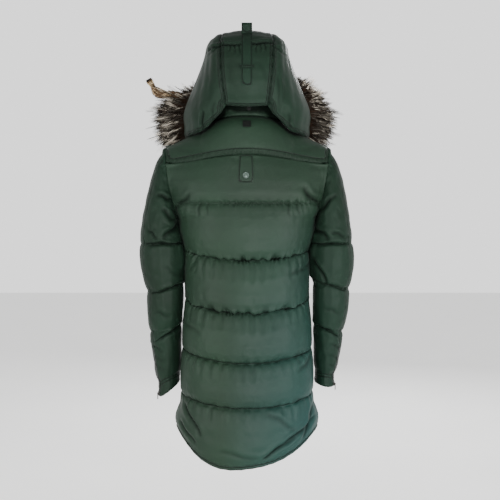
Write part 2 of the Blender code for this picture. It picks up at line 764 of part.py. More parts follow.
def hood_centre_base():
    """The centre panel: a strip arched a little across its width."""
    ribs = hood_ribs()
    line = np.array([[0.0, rib.y, rib.z] for rib in ribs])
    run = unit(np.gradient(line, axis=0))
    out = np.stack([np.zeros(len(ribs)), -run[:, 2], run[:, 1]], axis=1)
    grid = np.zeros((HOOD_CENTRE_COLUMNS + 1, len(ribs), 3))
    for i in range(HOOD_CENTRE_COLUMNS + 1):
        across = -1 + 2 * i / HOOD_CENTRE_COLUMNS
        for j, rib in enumerate(ribs):
            drop = HOOD_CROWN * across ** 2
            grid[i, j] = line[j] - out[j] * drop + np.array([rib.half_width * across, 0, 0])
    return grid


def hood_side_base(seam):
    """The right side panel, a patch between the centre seam, the neck and the face opening."""
    lower = smooth_line(HOOD_LOWER_EDGE, HOOD_TOP_ROWS)
    face = smooth_line(HOOD_FACE_EDGE, HOOD_BACK_ROWS)
    back = seam[:HOOD_BACK_ROWS + 1]
    top = seam[HOOD_BACK_ROWS:]
    lower[0] = back[0]
    lower[-1] = face[0]
    face[-1] = top[-1]
    spread = np.linspace(0, 1, HOOD_BACK_ROWS + 1)
    grid = coons(lower, top, back, face, spread)
    for i in range(grid.shape[0]):
        s = i / (grid.shape[0] - 1)
        for j, t in enumerate(spread):
            out = read(HOOD_SWELL, "rise", "out", t) * math.sin(math.pi * s) ** 0.6
            out *= smooth_step((1 - s) * 4)
            grid[i, j] += np.array([out, -0.3 * out, 0.35 * out])
    return grid


def hood_raise(shape, folds):
    """Soft padding with a few long folds, flat at the seams."""
    raised = np.zeros(shape)
    for i in range(shape[0]):
        for j in range(shape[1]):
            s = i / (shape[0] - 1)
            t = j / (shape[1] - 1)
            pad = min(1.0, 6 * min(s, 1 - s)) * min(1.0, 6 * min(t, 1 - t))
            fold = 0.5 + 0.5 * math.sin(2 * math.pi * (folds * s + 0.8 * t))
            raised[i, j] = pad * (0.0018 + 0.0016 * fold)
    return raised


def fur_sections():
    """(place, outward direction, length) of each section of the ruff, left end to right end."""
    rows = numbered(FUR_PATH)
    sections = []
    for station in np.linspace(0, len(FUR_PATH) - 1, FUR_SECTIONS + 1):
        x, y, z, length = [read(rows, "number", name, station) for name in FurSection._fields]
        spot = Vector((x, y, z))
        out = spot - FUR_CENTRE
        out.y = -FUR_LEAN * math.hypot(out.x, out.z)
        sections.append((spot, out.normalized(), length))
    return sections


def build_ruff(material):
    """The fur ruff: a lumpy roll of tufts round the face opening, as far out as the hairs reach."""
    sections = fur_sections()
    bm = bmesh.new()
    rings = []
    for number, (spot, out, length) in enumerate(sections):
        before = sections[max(number - 1, 0)][0]
        after = sections[min(number + 1, FUR_SECTIONS)][0]
        across = (after - before).normalized().cross(out).normalized()
        end = min(1.0, 0.35 + 0.25 * min(number, FUR_SECTIONS - number))
        tuft = (1.04 if number % 2 else 0.86) * rng.uniform(0.94, 1.06)
        ring = []
        for k in range(FUR_AROUND):
            turn = 2 * math.pi * k / FUR_AROUND
            reach = (0.5 - 0.5 * math.cos(turn)) * length * tuft * end
            lump = rng.uniform(0.86, 1.10) * (1.05 if (number + k) % 2 else 0.92)
            behind = FUR_BEHIND if k < FUR_AROUND // 2 else 1.0
            thick = math.sin(turn) * FUR_HALF_THICKNESS * lump * end * behind
            point = spot + out * reach + across * thick
            away = abs(number - FUR_TAIL_SECTION)
            if away < len(FUR_TAIL_SHARE) and k == FUR_AROUND // 2:
                point = point.lerp(Vector(FUR_TAIL), FUR_TAIL_SHARE[away])
            ring.append(bm.verts.new(point))
        rings.append(ring)
    for first, second in zip(rings, rings[1:]):
        for k in range(FUR_AROUND):
            after = (k + 1) % FUR_AROUND
            bm.faces.new((first[k], first[after], second[after], second[k]))
    bm.faces.new(rings[0])
    bm.faces.new(rings[-1])
    return finish_mesh(bm, "fur_trim", material, smooth=False)


# ------------------------------------------------------------------ small hard pieces
def oriented(out, up):
    """A turn that takes X across, Y up and Z out."""
    z_axis = Vector(out).normalized()
    x_axis = Vector(up).cross(z_axis).normalized()
    y_axis = z_axis.cross(x_axis)
    return Matrix((x_axis, y_axis, z_axis)).transposed().to_4x4()


def box_mesh(bm, size, middle):
    """Adds a box of three sizes about a middle."""
    shape = Matrix.Translation(middle) @ Matrix.Diagonal((*size, 1.0))
    bmesh.ops.create_cube(bm, size=1.0, matrix=shape)


def block(name, size, middle, material, bevel=0.0, collection=None):
    """A box as its own object."""
    bm = bmesh.new()
    box_mesh(bm, size, middle)
    mesh = bpy.data.meshes.new(name)
    bm.to_mesh(mesh)
    bm.free()
    if bevel:
        thing = new_object(name, mesh, material)
        rounding = thing.modifiers.new("rounded", "BEVEL")
        rounding.width = bevel
        rounding.segments = 1
        return thing
    if collection is None:
        return new_object(name, mesh, material)
    thing = bpy.data.objects.new(name, mesh)
    thing.hide_render = True
    thing.display_type = "WIRE"
    collection.objects.link(thing)
    return thing


def cut(thing, tool, operation):
    """Cuts or joins with another object."""
    step = thing.modifiers.new(tool.name, "BOOLEAN")
    step.operation = operation
    step.object = tool
    return step


def place(thing, matrix):
    """Puts an object, and the tools it is cut with, at a place."""
    thing.matrix_world = matrix
    for step in thing.modifiers:
        if step.type == "BOOLEAN":
            step.object.matrix_world = matrix


def zip_slider(name, matrix, scale, material):
    """A slider: a flat body with a bridge that the pull's bar runs through, hinge axis at 0."""
    mm = 0.001 * scale
    body = block(name, (7.6 * mm, 10 * mm, 2.2 * mm), (0, 0, -2.6 * mm), material)
    bridge = block(name + "_bridge", (2.2 * mm, 4.4 * mm, 3.9 * mm), (0, 0, -0.05 * mm),
                   material, collection=tools)
    eye = block(name + "_eye", (6 * mm, 2.6 * mm, 2.5 * mm), (0, 0, -0.1 * mm),
                material, collection=tools)
    cut(body, bridge, "UNION")
    cut(body, eye, "DIFFERENCE")
    place(body, matrix)
    return body


def zip_pull(name, matrix, scale, length, material):
    """A pull tab with a window: its top bar lies on the hinge axis, inside the slider's bridge."""
    mm = 0.001 * scale
    height = length + 0.6 * mm
    tab = block(name, (5.4 * mm, height, 1.1 * mm), (0, 0.6 * mm - height / 2, 0), material)
    window = block(name + "_window", (3.2 * mm, 4.2 * mm, 4 * mm), (0, -2.7 * mm, 0),
                   material, collection=tools)
    cut(tab, window, "DIFFERENCE")
    place(tab, matrix)
    return tab


def snap(name, radius, height, centre, out, material):
    """A round snap: a flat base under a shallow dome, turned about its own axis."""
    profile = ((0.0, height), (0.55, height * 0.92), (0.85, height * 0.62), (1.0, height * 0.3),
               (1.0, 0.0), (0.0, 0.0))
    bm = bmesh.new()
    corners = [bm.verts.new((radius * r, 0.0, h)) for r, h in profile]
    edges = [bm.edges.new(pair) for pair in zip(corners, corners[1:])]
    bmesh.ops.spin(bm, geom=corners + edges, cent=(0, 0, 0), axis=(0, 0, 1),
                   angle=2 * math.pi, steps=16, use_merge=True)
    bmesh.ops.remove_doubles(bm, verts=bm.verts, dist=1e-6)
    bmesh.ops.transform(bm, verts=bm.verts, matrix=Matrix.Translation(centre) @ oriented(out, (0, 0, 1)))
    return finish_mesh(bm, name, material)


def ribbon(name, path, normals, half_width, lift, thickness, material):
    """A band of one width that follows a path in the coat's middle plane."""
    across = np.array([[side * half_width, 0.0, 0.0] for side in (-1, 0, 1)])
    points = np.array([[point + offset for point in path] for offset in across])
    facing = np.array([normals for _ in across])
    return strip(name, points, facing, lift, thickness, material)


# ------------------------------------------------------------------ materials and collections
def paint(name, colour, roughness, metallic=0.0):
    """A Principled material."""
    material = bpy.data.materials.new(name)
    material.use_nodes = True
    shader = material.node_tree.nodes["Principled BSDF"]
    shader.inputs["Base Color"].default_value = (*colour, 1.0)
    shader.inputs["Roughness"].default_value = roughness
    shader.inputs["Metallic"].default_value = metallic
    return material


def clear_scene():
    """Removes whatever the file opened with."""
    for thing in list(bpy.data.objects):
        bpy.data.objects.remove(thing, do_unlink=True)


def new_collection(name):
    """A collection under the scene."""
    collection = bpy.data.collections.new(name)
    bpy.context.scene.collection.children.link(collection)
    return collection


clear_scene()
coat = new_collection("fur_trimmed_parka")
tools = new_collection("tools")
cloth = paint("green_shell", (0.045, 0.078, 0.058), 0.42)
trim = paint("dark_trim", (0.012, 0.014, 0.013), 0.5)
fur_paint = paint("fur", (0.30, 0.26, 0.22), 0.9)
metal = paint("dark_metal", (0.10, 0.09, 0.08), 0.35, 0.8)


# ------------------------------------------------------------------ assembly
def make_torso():
    """Back, yoke and fronts as panels with shared seams, not yet built."""
    rows = build_rows()
    waves = back_waves()
    back_points = back_base(rows, waves)
    back_inside = back_points * np.array([0.0, 0.0, 1.0])
    back = Panel("back_panel", back_points, back_raise(rows, waves), cloth, back_inside)
    yoke_points = yoke_base(back_points)
    yoke_raised = np.zeros(yoke_points.shape[:2])
    for i in range(BACK_COLUMNS + 1):
        for j in range(YOKE_ROWS + 1):
            spread = math.sin(math.pi * i / BACK_COLUMNS) ** 0.5
            yoke_raised[i, j] = 0.004 * spread * math.sin(math.pi * j / YOKE_ROWS)
    yoke = Panel("back_yoke", yoke_points, yoke_raised, cloth, np.array([0.0, 0.0, -0.2]))
    front_points = front_base(rows)
    inside = front_points * np.array([0.0, 0.0, 1.0])
    inside[..., 2] = np.minimum(inside[..., 2], UNDERARM)
    right = Panel("front_right", front_points, front_raise(rows), cloth, inside)
    left = Panel("front_left", mirrored(front_points), front_raise(rows), cloth, inside)
    return back, yoke, right, left


def make_sleeves(back, yoke, right):
    """Both sleeves as panels, with the armhole's own points for their first ring."""
    right_points = loop_points(armhole_loop(back, yoke, right))
    sleeves = []
    for name, table, side in (("sleeve_right", RIGHT_SLEEVE, 1), ("sleeve_left", LEFT_SLEEVE, -1)):
        grid = sleeve_base(table, right_points)
        if side < 0:
            grid = mirrored(grid)
        inside = grid.mean(axis=0, keepdims=True)
        raised = sleeve_raise(len(right_points))
        sleeves.append(Panel(name, grid, raised, cloth, inside, closed=True))
    return sleeves


def join_seams(back, yoke, right, left, sleeves):
    """Gives both sides of every seam one normal, then draws them a seam gap apart."""
    top = right.base.shape[1] - 1
    half = SEAM_GAP / 2
    for front, back_column, sleeve in ((right, -1, sleeves[0]), (left, 0, sleeves[1])):
        for j in range(ROWS_TO_UNDERARM + 1):
            share_normal((back, back_column, j), (front, 0, j))
        for j in range(1, ROWS_TO_YOKE - ROWS_TO_UNDERARM):
            share_normal((back, back_column, ROWS_TO_UNDERARM + j), (sleeve, j, 0))
        at_yoke = ROWS_TO_YOKE - ROWS_TO_UNDERARM
        share_normal((back, back_column, -1), (yoke, back_column, 0), (sleeve, at_yoke, 0))
        for j in range(1, YOKE_ROWS):
            share_normal((yoke, back_column, j), (sleeve, at_yoke + j, 0))
        tip = at_yoke + YOKE_ROWS
        share_normal((yoke, back_column, -1), (front, 0, top), (sleeve, tip, 0))
        for step in range(1, top - ROWS_TO_UNDERARM):
            share_normal((front, 0, top - step), (sleeve, tip + step, 0))
        for k in range(1, SHOULDER_COLUMNS + 1):
            column = BACK_COLUMNS - k if back_column == -1 else k
            share_normal((yoke, column, -1), (front, k, top))
            inset(yoke, column, -1, 0, -1, half)
            inset(front, k, top, 0, -1, half)
        for j in range(ROWS_TO_UNDERARM + 1):
            inset(back, back_column, j, 1 if back_column == 0 else -1, 0, half)
            inset(front, 0, j, 1, 0, half)
        inset(yoke, back_column, -1, 0, -1, half)
        inset(front, 0, top, 0, -1, half)
    for i in range(BACK_COLUMNS + 1):
        if 0 < i < BACK_COLUMNS:
            share_normal((back, i, -1), (yoke, i, 0))
        inset(back, i, -1, 0, -1, half)
        inset(yoke, i, 0, 0, 1, half)


def build_collar(yoke, right, left):
    """The stand collar: a strip that follows the neck seam from zip to zip."""
    neck_first = SHOULDER_COLUMNS
    neck_last = BACK_COLUMNS - SHOULDER_COLUMNS
    top = right.base.shape[1] - 1
    left_edge = left.base[SHOULDER_COLUMNS:, top][::-1]
    right_edge = right.base[SHOULDER_COLUMNS:, top]
    seam = np.vstack([left_edge[:-1], yoke.base[neck_first:neck_last + 1, -1], right_edge[1:]])
    inward = np.array([0.0, NECK_CENTRE_Y, 0.0]) - seam
    inward[:, 2] = 0
    inward = unit(inward)
    rows = 4
    grid = np.zeros((len(seam), rows + 1, 3))
    for j in range(rows + 1):
        t = j / rows
        lean = 0.0008 + 0.004 * t - 0.006 * math.sin(math.pi * t)
        for i, point in enumerate(seam):
            front = smooth_step((point[1] - NECK_CENTRE_Y) / 0.08)
            rise = 0.0015 + (COLLAR_HEIGHT + 0.018 * front) * t
            grid[i, j] = point + inward[i] * lean + np.array([0.0, 0.0, rise])
    grid[0, :, 0] = -ZIP_HALF_WIDTH
    grid[-1, :, 0] = ZIP_HALF_WIDTH
    raised = np.array([[0.002 * math.sin(math.pi * j / rows)] * len(seam) for j in range(rows + 1)]).T
    inside = grid * np.array([0.0, 0.0, 1.0]) + np.array([0.0, NECK_CENTRE_Y, 0.0])
    collar = Panel("collar", grid, raised, cloth, inside)
    collar.build()
    return collar


def build_hem_bands(back, right, left):
    """Rolled hem bands just below the panels' lower edges."""
    for name, panel in (("hem_back", back), ("hem_front_right", right), ("hem_front_left", left)):
        edge = panel.base[:, 0]
        grid = np.zeros((len(edge), 3, 3))
        for j in range(3):
            drop = SEAM_GAP + HEM_BAND_HEIGHT * (1 - j / 2)
            grid[:, j] = edge - np.array([0.0, 0.0, drop])
        raised = np.zeros(grid.shape[:2]) + 0.0004
        raised[:, 1] = 0.0022
        inside = grid * np.array([0.0, 0.0, 1.0])
        band = Panel(name, grid, raised, cloth, inside, thickness=0.0035)
        band.normals[:] = panel.normals[:, :1]
        band.build()


def build_hood():
    """The three hood panels with shared seams."""
    centre_points = hood_centre_base()
    inside = np.array([0.0, 0.03, 0.08])
    centre_raised = hood_raise(centre_points.shape[:2], 0.5)
    centre = Panel("hood_centre", centre_points, centre_raised, cloth, inside)
    side_points = hood_side_base(centre_points[-1])
    raised = hood_raise(side_points.shape[:2], 1.6)
    right = Panel("hood_right", side_points, raised, cloth, inside)
    left = Panel("hood_left", mirrored(side_points), raised.copy(), cloth, inside)
    last = HOOD_BACK_ROWS
    for side, column in ((right, -1), (left, 0)):
        inward = -1 if column == -1 else 1
        for j in range(last + 1):
            share_normal((centre, column, j), (side, 0, j))
        for i in range(1, HOOD_TOP_ROWS + 1):
            share_normal((centre, column, last + i), (side, i, last))
        for j in range(last + HOOD_TOP_ROWS + 1):
            inset(centre, column, j, inward, 0, SEAM_GAP)
        for j in range(last):
            inset(side, 0, j, 1, 0, SEAM_GAP)
        for i in range(1, HOOD_TOP_ROWS + 1):
            inset(side, i, last, 0, -1, SEAM_GAP)
        corner = side.base[1, last - 1] - side.base[0, last]
        side.base[0, last] += unit(corner) * SEAM_GAP
    for panel in (centre, right, left):
        panel.build()
    return centre


def build_strap(centre):
    """The strap down the hood, ending in a hanging loop that stands on the crown, and its keeper."""
    middle = HOOD_CENTRE_COLUMNS // 2
    line = centre.outer()[middle]
    first_row = 3.4
    fold_row = 13
    rows = [first_row] + list(range(4, fold_row + 1))
    path = np.array([grid_at(centre.outer(), middle, row) for row in rows])
    facing = np.array([grid_at(centre.normals, middle, row) for row in rows])
    path = path + facing * 0.0016
    foot = path[-1]
    rise = facing[-1]
    ahead = unit(line[fold_row + 1] - line[fold_row])
    loop_height = 0.024
    loop_depth = 0.008
    arc = []
    arc_facing = []
    for turn in np.linspace(0, math.pi, 7):
        out = -math.cos(turn)
        up = loop_height - loop_depth + math.sin(turn) * loop_depth
        arc.append(foot + rise * up + ahead * (loop_depth * (out + 1) + 0.004))
        arc_facing.append(-ahead * math.cos(turn) + rise * math.sin(turn))
    foot_ahead = grid_at(centre.outer(), middle, fold_row + 1.9)
    ahead_normal = grid_at(centre.normals, middle, fold_row + 1.9)
    stem = foot + rise * 0.010 + ahead * 0.003
    landing = foot_ahead + ahead_normal * 0.0042
    path = np.vstack([path, [stem], arc, [landing]])
    facing = np.vstack([facing, [unit(rise - ahead)], arc_facing, [unit(ahead_normal + ahead)]])
    ribbon("hood_strap", path, facing, STRAP_WIDTH / 2, -0.0012, 0.0018, cloth)
    keeper_rows = (6.05, 6.6)
    keeper_half = 0.0185
    keeper_line = np.array([grid_at(centre.outer(), middle, row) for row in keeper_rows])
    keeper_facing = np.array([grid_at(centre.normals, middle, row) for row in keeper_rows])
    sides = np.linspace(-keeper_half, keeper_half, 9)
    points = np.zeros((len(sides), len(keeper_rows), 3))
    for i, side in enumerate(sides):
        dip = 0.0018 * smooth_step((abs(side) - 0.0150) / 0.0035)
        for j in range(len(keeper_rows)):
            fall = HOOD_CROWN * (side / HOOD_CENTRE_LINE[2].half_width) ** 2
            points[i, j] = keeper_line[j] + np.array([side, 0, 0]) + keeper_facing[j] * (-dip - fall)
    facing = np.array([keeper_facing for _ in sides])
    strip("strap_keeper", points, facing, 0.0036, 0.0018, cloth)


def build_back_details(back, yoke, collar):
    """The tab below the yoke with its snap, the blank plate and the collar's small snap."""
    middle = BACK_COLUMNS / 2
    span = (middle - TAB_LEFT, middle + TAB_RIGHT, ROWS_TO_YOKE - TAB_LENGTH, ROWS_TO_YOKE - 0.04)
    lay_on(back, "back_tab", span, 0.0006, 0.0022, cloth)
    at = (middle - (TAB_LEFT - TAB_RIGHT) / 2, ROWS_TO_YOKE - TAB_SNAP_ROW)
    facing = Vector(grid_at(back.normals, *at))
    centre = Vector(grid_at(back.outer(), *at)) + facing * 0.0034
    snap("tab_snap", 0.0082, 0.0030, centre, facing, metal)
    at = (middle, 2.05)
    facing = Vector(grid_at(yoke.normals, *at))
    centre = Vector(grid_at(yoke.outer(), *at)) + facing * 0.0022
    plate = block("badge_plate", (0.0205, 0.0180, 0.0018), (0, 0, 0), trim, bevel=0.0005)
    place(plate, Matrix.Translation(centre) @ oriented(facing, (0, 0, 1)))
    at = (collar.base.shape[0] // 2 + 0.4, 1.35)
    facing = Vector(grid_at(collar.normals, *at))
    centre = Vector(grid_at(collar.outer(), *at)) + facing * 0.0012
    snap("collar_snap", 0.0056, 0.0024, centre, facing, trim)


def build_front_zip(right, left, collar):
    """Front zip: a tape on each side of the centre from hem to collar top, slider and pull."""
    top_of_collar = collar.base[-1]
    for name, panel, collar_edge, side in (
            ("front_zip_tape_right", right, collar.base[-1], 1),
            ("front_zip_tape_left", left, collar.base[0], -1)):
        edge = np.vstack([panel.base[-1][::2], collar_edge[1:]])
        depth = 0.0012
        points = np.zeros((2, len(edge), 3))
        for i, x in enumerate((0.00025, ZIP_HALF_WIDTH - 0.0006)):
            points[i, :, 0] = x * side
            points[i, :, 1:] = edge[:, 1:]
        normals = np.zeros_like(points)
        normals[..., 1] = 1.0
        strip(name, points, normals, -depth, 0.0016, trim)
    anchor = (top_of_collar[-2] + top_of_collar[-1]) / 2
    place_at = Matrix.Translation((0.0, anchor[1] + 0.0100, anchor[2] - 0.004))
    matrix = place_at @ oriented((0, 1, 0), (0, 0, 1))
    zip_slider("front_zip_slider", matrix, 1.4, metal)
    zip_pull("front_zip_pull", matrix, 1.4, 0.030, metal)
    return matrix.translation


def build_cuff_zips(sleeves):
    """On the outer back of each cuff: a zip tape, a slider at the cuff's edge and its pull."""
    hinges = []
    stations = [station for station, _, _ in sleeve_stations()]
    for sleeve, side in zip(sleeves, ("right", "left")):
        first_row = stations.index(next(s for s in stations if s >= CUFF_ZIP_TOP))
        last_row = len(stations) - 1.05
        span = (CUFF_ZIP_COLUMN - CUFF_TAPE_HALF, CUFF_ZIP_COLUMN + CUFF_TAPE_HALF, first_row, last_row)
        lay_on(sleeve, f"cuff_zip_tape_{side}", span, 0.0005, 0.0014, trim)
        at = (CUFF_ZIP_COLUMN, len(stations) - 1.5)
        facing = Vector(grid_at(sleeve.normals, *at))
        facing.z = 0
        facing.normalize()
        anchor = Vector(grid_at(sleeve.outer(), *at)) + facing * 0.0078
        matrix = Matrix.Translation(anchor) @ oriented(facing, (0, 0, 1))
        zip_slider(f"cuff_zip_slider_{side}", matrix, 1.0, metal)
        zip_pull(f"cuff_zip_pull_{side}", matrix, 1.0, 0.016, metal)
        hinges.append((side, anchor, facing))
    return hinges


def build_sleeve_bands(sleeves):
    """The saddle band laid down the outside of each sleeve, from the shoulder to the cuff."""
    for sleeve, side in zip(sleeves, ("right", "left")):
        stations = [station for station, _, _ in sleeve_stations()]
        last_row = stations.index(next(s for s in stations if s >= CUFF_ZIP_TOP)) - 0.1
        span = (CUFF_ZIP_COLUMN - CUFF_TAPE_HALF, CUFF_ZIP_COLUMN + SADDLE_BAND_REACH, 0.5, last_row)
        lay_on(sleeve, f"sleeve_band_{side}", span, 0.0005, 0.0012, cloth)


def main():
    """Builds the whole coat."""
    back, yoke, right, left = make_torso()
    sleeves = make_sleeves(back, yoke, right)
    join_seams(back, yoke, right, left, sleeves)
    for panel in (back, yoke, right, left, *sleeves):
        panel.build()
    collar = build_collar(yoke, right, left)
    build_hem_bands(back, right, left)
    centre = build_hood()
    build_strap(centre)
    build_ruff(fur_paint)
    build_back_details(back, yoke, collar)
    front_hinge = build_front_zip(right, left, collar)
    hinges = build_cuff_zips(sleeves)
    build_sleeve_bands(sleeves)
    print("front pull hinge", tuple(round(c, 6) for c in front_hinge))
    for side, anchor, facing in hinges:
        print("cuff pull hinge", side, tuple(round(c, 6) for c in anchor), tuple(round(c, 6) for c in facing))


main()
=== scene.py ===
"""Looks of the fur trimmed parka: a quilted satin nylon shell, a silver fox ruff, zips, snaps and sewing.

Metres, +Z up. The back of the coat is on -Y and the wearer's right is on +X. Every cloth piece starts as a
copy of the outside of its solid and is made finer; the padded pieces are then filled and gathered, and all
are creased.
"""
import logging
import math
from dataclasses import dataclass
from enum import Enum
from typing import Any, Callable, ClassVar, Sequence

import bmesh
import bpy
import numpy as np
from mathutils import Matrix, Vector, noise
from mathutils.bvhtree import BVHTree
from mathutils.kdtree import KDTree


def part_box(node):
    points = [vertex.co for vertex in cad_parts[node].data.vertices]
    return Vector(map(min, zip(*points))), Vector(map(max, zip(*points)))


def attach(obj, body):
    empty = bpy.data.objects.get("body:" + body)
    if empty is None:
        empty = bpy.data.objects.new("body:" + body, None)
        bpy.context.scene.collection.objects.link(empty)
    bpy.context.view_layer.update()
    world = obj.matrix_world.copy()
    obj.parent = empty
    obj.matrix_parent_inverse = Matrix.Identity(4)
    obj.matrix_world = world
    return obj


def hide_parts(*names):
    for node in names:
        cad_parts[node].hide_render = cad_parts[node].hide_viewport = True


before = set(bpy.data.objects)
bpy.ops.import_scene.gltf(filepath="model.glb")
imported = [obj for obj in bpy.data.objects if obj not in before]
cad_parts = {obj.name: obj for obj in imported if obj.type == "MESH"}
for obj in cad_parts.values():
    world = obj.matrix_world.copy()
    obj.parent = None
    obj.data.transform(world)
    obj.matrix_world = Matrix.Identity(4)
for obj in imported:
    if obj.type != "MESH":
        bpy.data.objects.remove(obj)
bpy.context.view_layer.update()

log = logging.getLogger("parka")

NodeTree = bpy.types.NodeTree
Node = bpy.types.Node
Socket = bpy.types.NodeSocket
Mesh = bpy.types.Mesh
BMesh = bmesh.types.BMesh
Vert = bmesh.types.BMVert
Edge = bmesh.types.BMEdge
Material = bpy.types.Material
Thing = bpy.types.Object
Point = tuple[float, float, float]
Spot = tuple[float, float]


class Side(Enum):
    """The wearer's side, as the sign of X."""

    LEFT = -1
    RIGHT = 1


class Face(Enum):
    """The way a place on the coat looks, as the sign of Y."""

    BACK = -1
    FRONT = 1


class Hold(Enum):
    """How a cut piece of cloth is held."""

    GATHERED = "gathered"
    FOLDED = "folded"
    STRETCHED = "stretched"
    HUNG = "hung"


# The mark of a cloth piece's points: how far each point of the outside rises above a plain wall, in metres.
# Points of the inside are marked INSIDE, and every mark above OUTSIDE belongs to the outside.
INSIDE = -1.0
OUTSIDE = -0.5
NEARLY = 0.0001

# How far below and above a sewn line the cloth is cut finer.
PLEATED_FROM, PLEATED_TO = -0.013, 0.011
# Cloth this near to a piece that is sewn on lies flat, and it is free once it is that much farther off.
FLAT_WITHIN, FREE_BEYOND = 0.0030, 0.010
# The filling leaves points below this mark where they are, and pulls more and more at those up to the next.
SEWN_BELOW, FULL_AT = 0.0011, 0.006
# How far a crease may sink below a plain wall, and how wide the shadow of a turned edge is.
DEEPEST = 0.0012
TURNED_WIDTH = 0.004
# How far a look out of the gap under the hood reaches, and how much shadow each one that is stopped adds.
LOOK_REACH, LOOK_SHADE = 0.12, 0.36

SIMULATED_FRAMES = 18
CLOTH_SETTINGS = {"quality": 5, "mass": 0.15, "tension_stiffness": 20, "compression_stiffness": 10,
                  "shear_stiffness": 5, "bending_stiffness": 0.12, "air_damping": 2, "use_pressure": True,
                  "vertex_group_mass": "sewn_lines", "vertex_group_shrink": "smooth"}


# ------------------------------------------------------------------ node and colour helpers
def linear(hex_colour: str) -> tuple[float, float, float, float]:
    """Turns an sRGB hex colour into linear RGBA.

    Args:
        hex_colour: Six hex digits, such as "4a5c50".

    Returns:
        The colour as linear red, green, blue and alpha.
    """
    channels = [int(hex_colour[k:k + 2], 16) / 255 for k in (0, 2, 4)]
    red, green, blue = (c / 12.92 if c <= 0.04045 else ((c + 0.055) / 1.055) ** 2.4 for c in channels)
    return red, green, blue, 1.0


def add_node(tree: NodeTree, kind: str, settings: dict[str, Any] | None = None,
             values: dict[str | int, Any] | None = None,
             links: dict[str | int, Socket] | None = None) -> Node:
    """Adds a node with its settings, constant inputs and links.

    Args:
        tree: The node tree.
        kind: The node's type name.
        settings: Attributes of the node.
        values: Constant values by input name or number.
        links: Sockets that feed inputs, by input name or number.

    Returns:
        The new node.
    """
    node = tree.nodes.new(kind)
    for name, value in (settings or {}).items():
        setattr(node, name, value)
    for name, value in (values or {}).items():
        node.inputs[name].default_value = value
    for name, socket in (links or {}).items():
        tree.links.new(socket, node.inputs[name])
    return node


def new_material(name: str) -> tuple[Material, NodeTree, Node]:
    """Makes an empty Principled material and returns it with its tree and shader."""
    material = bpy.data.materials.new(name)
    material.use_nodes = True
    tree = material.node_tree
    return material, tree, tree.nodes["Principled BSDF"]


def place_in(tree: NodeTree) -> Socket:
    """The place of the shaded point in the piece's own coordinates."""
    return add_node(tree, "ShaderNodeTexCoord").outputs["Object"]


def attribute(tree: NodeTree, name: str) -> Socket:
    """A number stored on the mesh."""
    return add_node(tree, "ShaderNodeAttribute", {"attribute_name": name}).outputs["Fac"]


def grain(tree: NodeTree, place: Socket, **values: float) -> Socket:
    """Noise from 0 to 1, with its inputs by name."""
    return add_node(tree, "ShaderNodeTexNoise", values=values, links={"Vector": place}).outputs["Fac"]


def ramp(tree: NodeTree, share: Socket, stops: Sequence[tuple[float, str]]) -> Socket:
    """A colour picked by a share.

    Args:
        tree: The node tree.
        share: The share that picks the colour.
        stops: Positions and hex colours, in order.

    Returns:
        The colour.
    """
    node = add_node(tree, "ShaderNodeValToRGB", links={"Fac": share})
    elements = node.color_ramp.elements
    while len(elements) < len(stops):
        elements.new(0.5)
    for element, (position, colour) in zip(elements, stops):
        element.position = position
        element.color = linear(colour)
    return node.outputs["Color"]


def maths(tree: NodeTree, operation: str, *inputs: Socket | float, clamp: bool = False) -> Socket:
    """Does one sum on sockets and numbers.

    Args:
        tree: The node tree.
        operation: The Math node's operation.
        inputs: Its sockets or constant numbers, in order.
        clamp: Whether the result is kept between 0 and 1.

    Returns:
        The result.
    """
    values = {k: v for k, v in enumerate(inputs) if isinstance(v, float)}
    links = {k: v for k, v in enumerate(inputs) if not isinstance(v, float)}
    settings = {"operation": operation, "use_clamp": clamp}
    return add_node(tree, "ShaderNodeMath", settings, values, links).outputs[0]


def tinted(tree: NodeTree, under: Socket, colour: str, share: Socket) -> Socket:
    """Mixes a share of one colour over another."""
    return add_node(tree, "ShaderNodeMix", {"data_type": "RGBA"}, {"B": linear(colour)},
                    {"Factor": share, "A": under}).outputs["Result"]


def bumped(tree: NodeTree, height: Socket, strength: float, distance: float, normal: Socket | None = None,
           invert: bool = False) -> Socket:
    """Turns a height into a normal.

    Args:
        tree: The node tree.
        height: The height, from 0 to 1.
        strength: The share of the effect.
        distance: The real height of 1, in metres.
        normal: The normal that it is added to.
        invert: Whether 1 is low.

    Returns:
        The new normal.
    """
    links = {"Height": height} if normal is None else {"Height": height, "Normal": normal}
    return add_node(tree, "ShaderNodeBump", {"invert": invert}, {"Strength": strength, "Distance": distance},
                    links).outputs["Normal"]


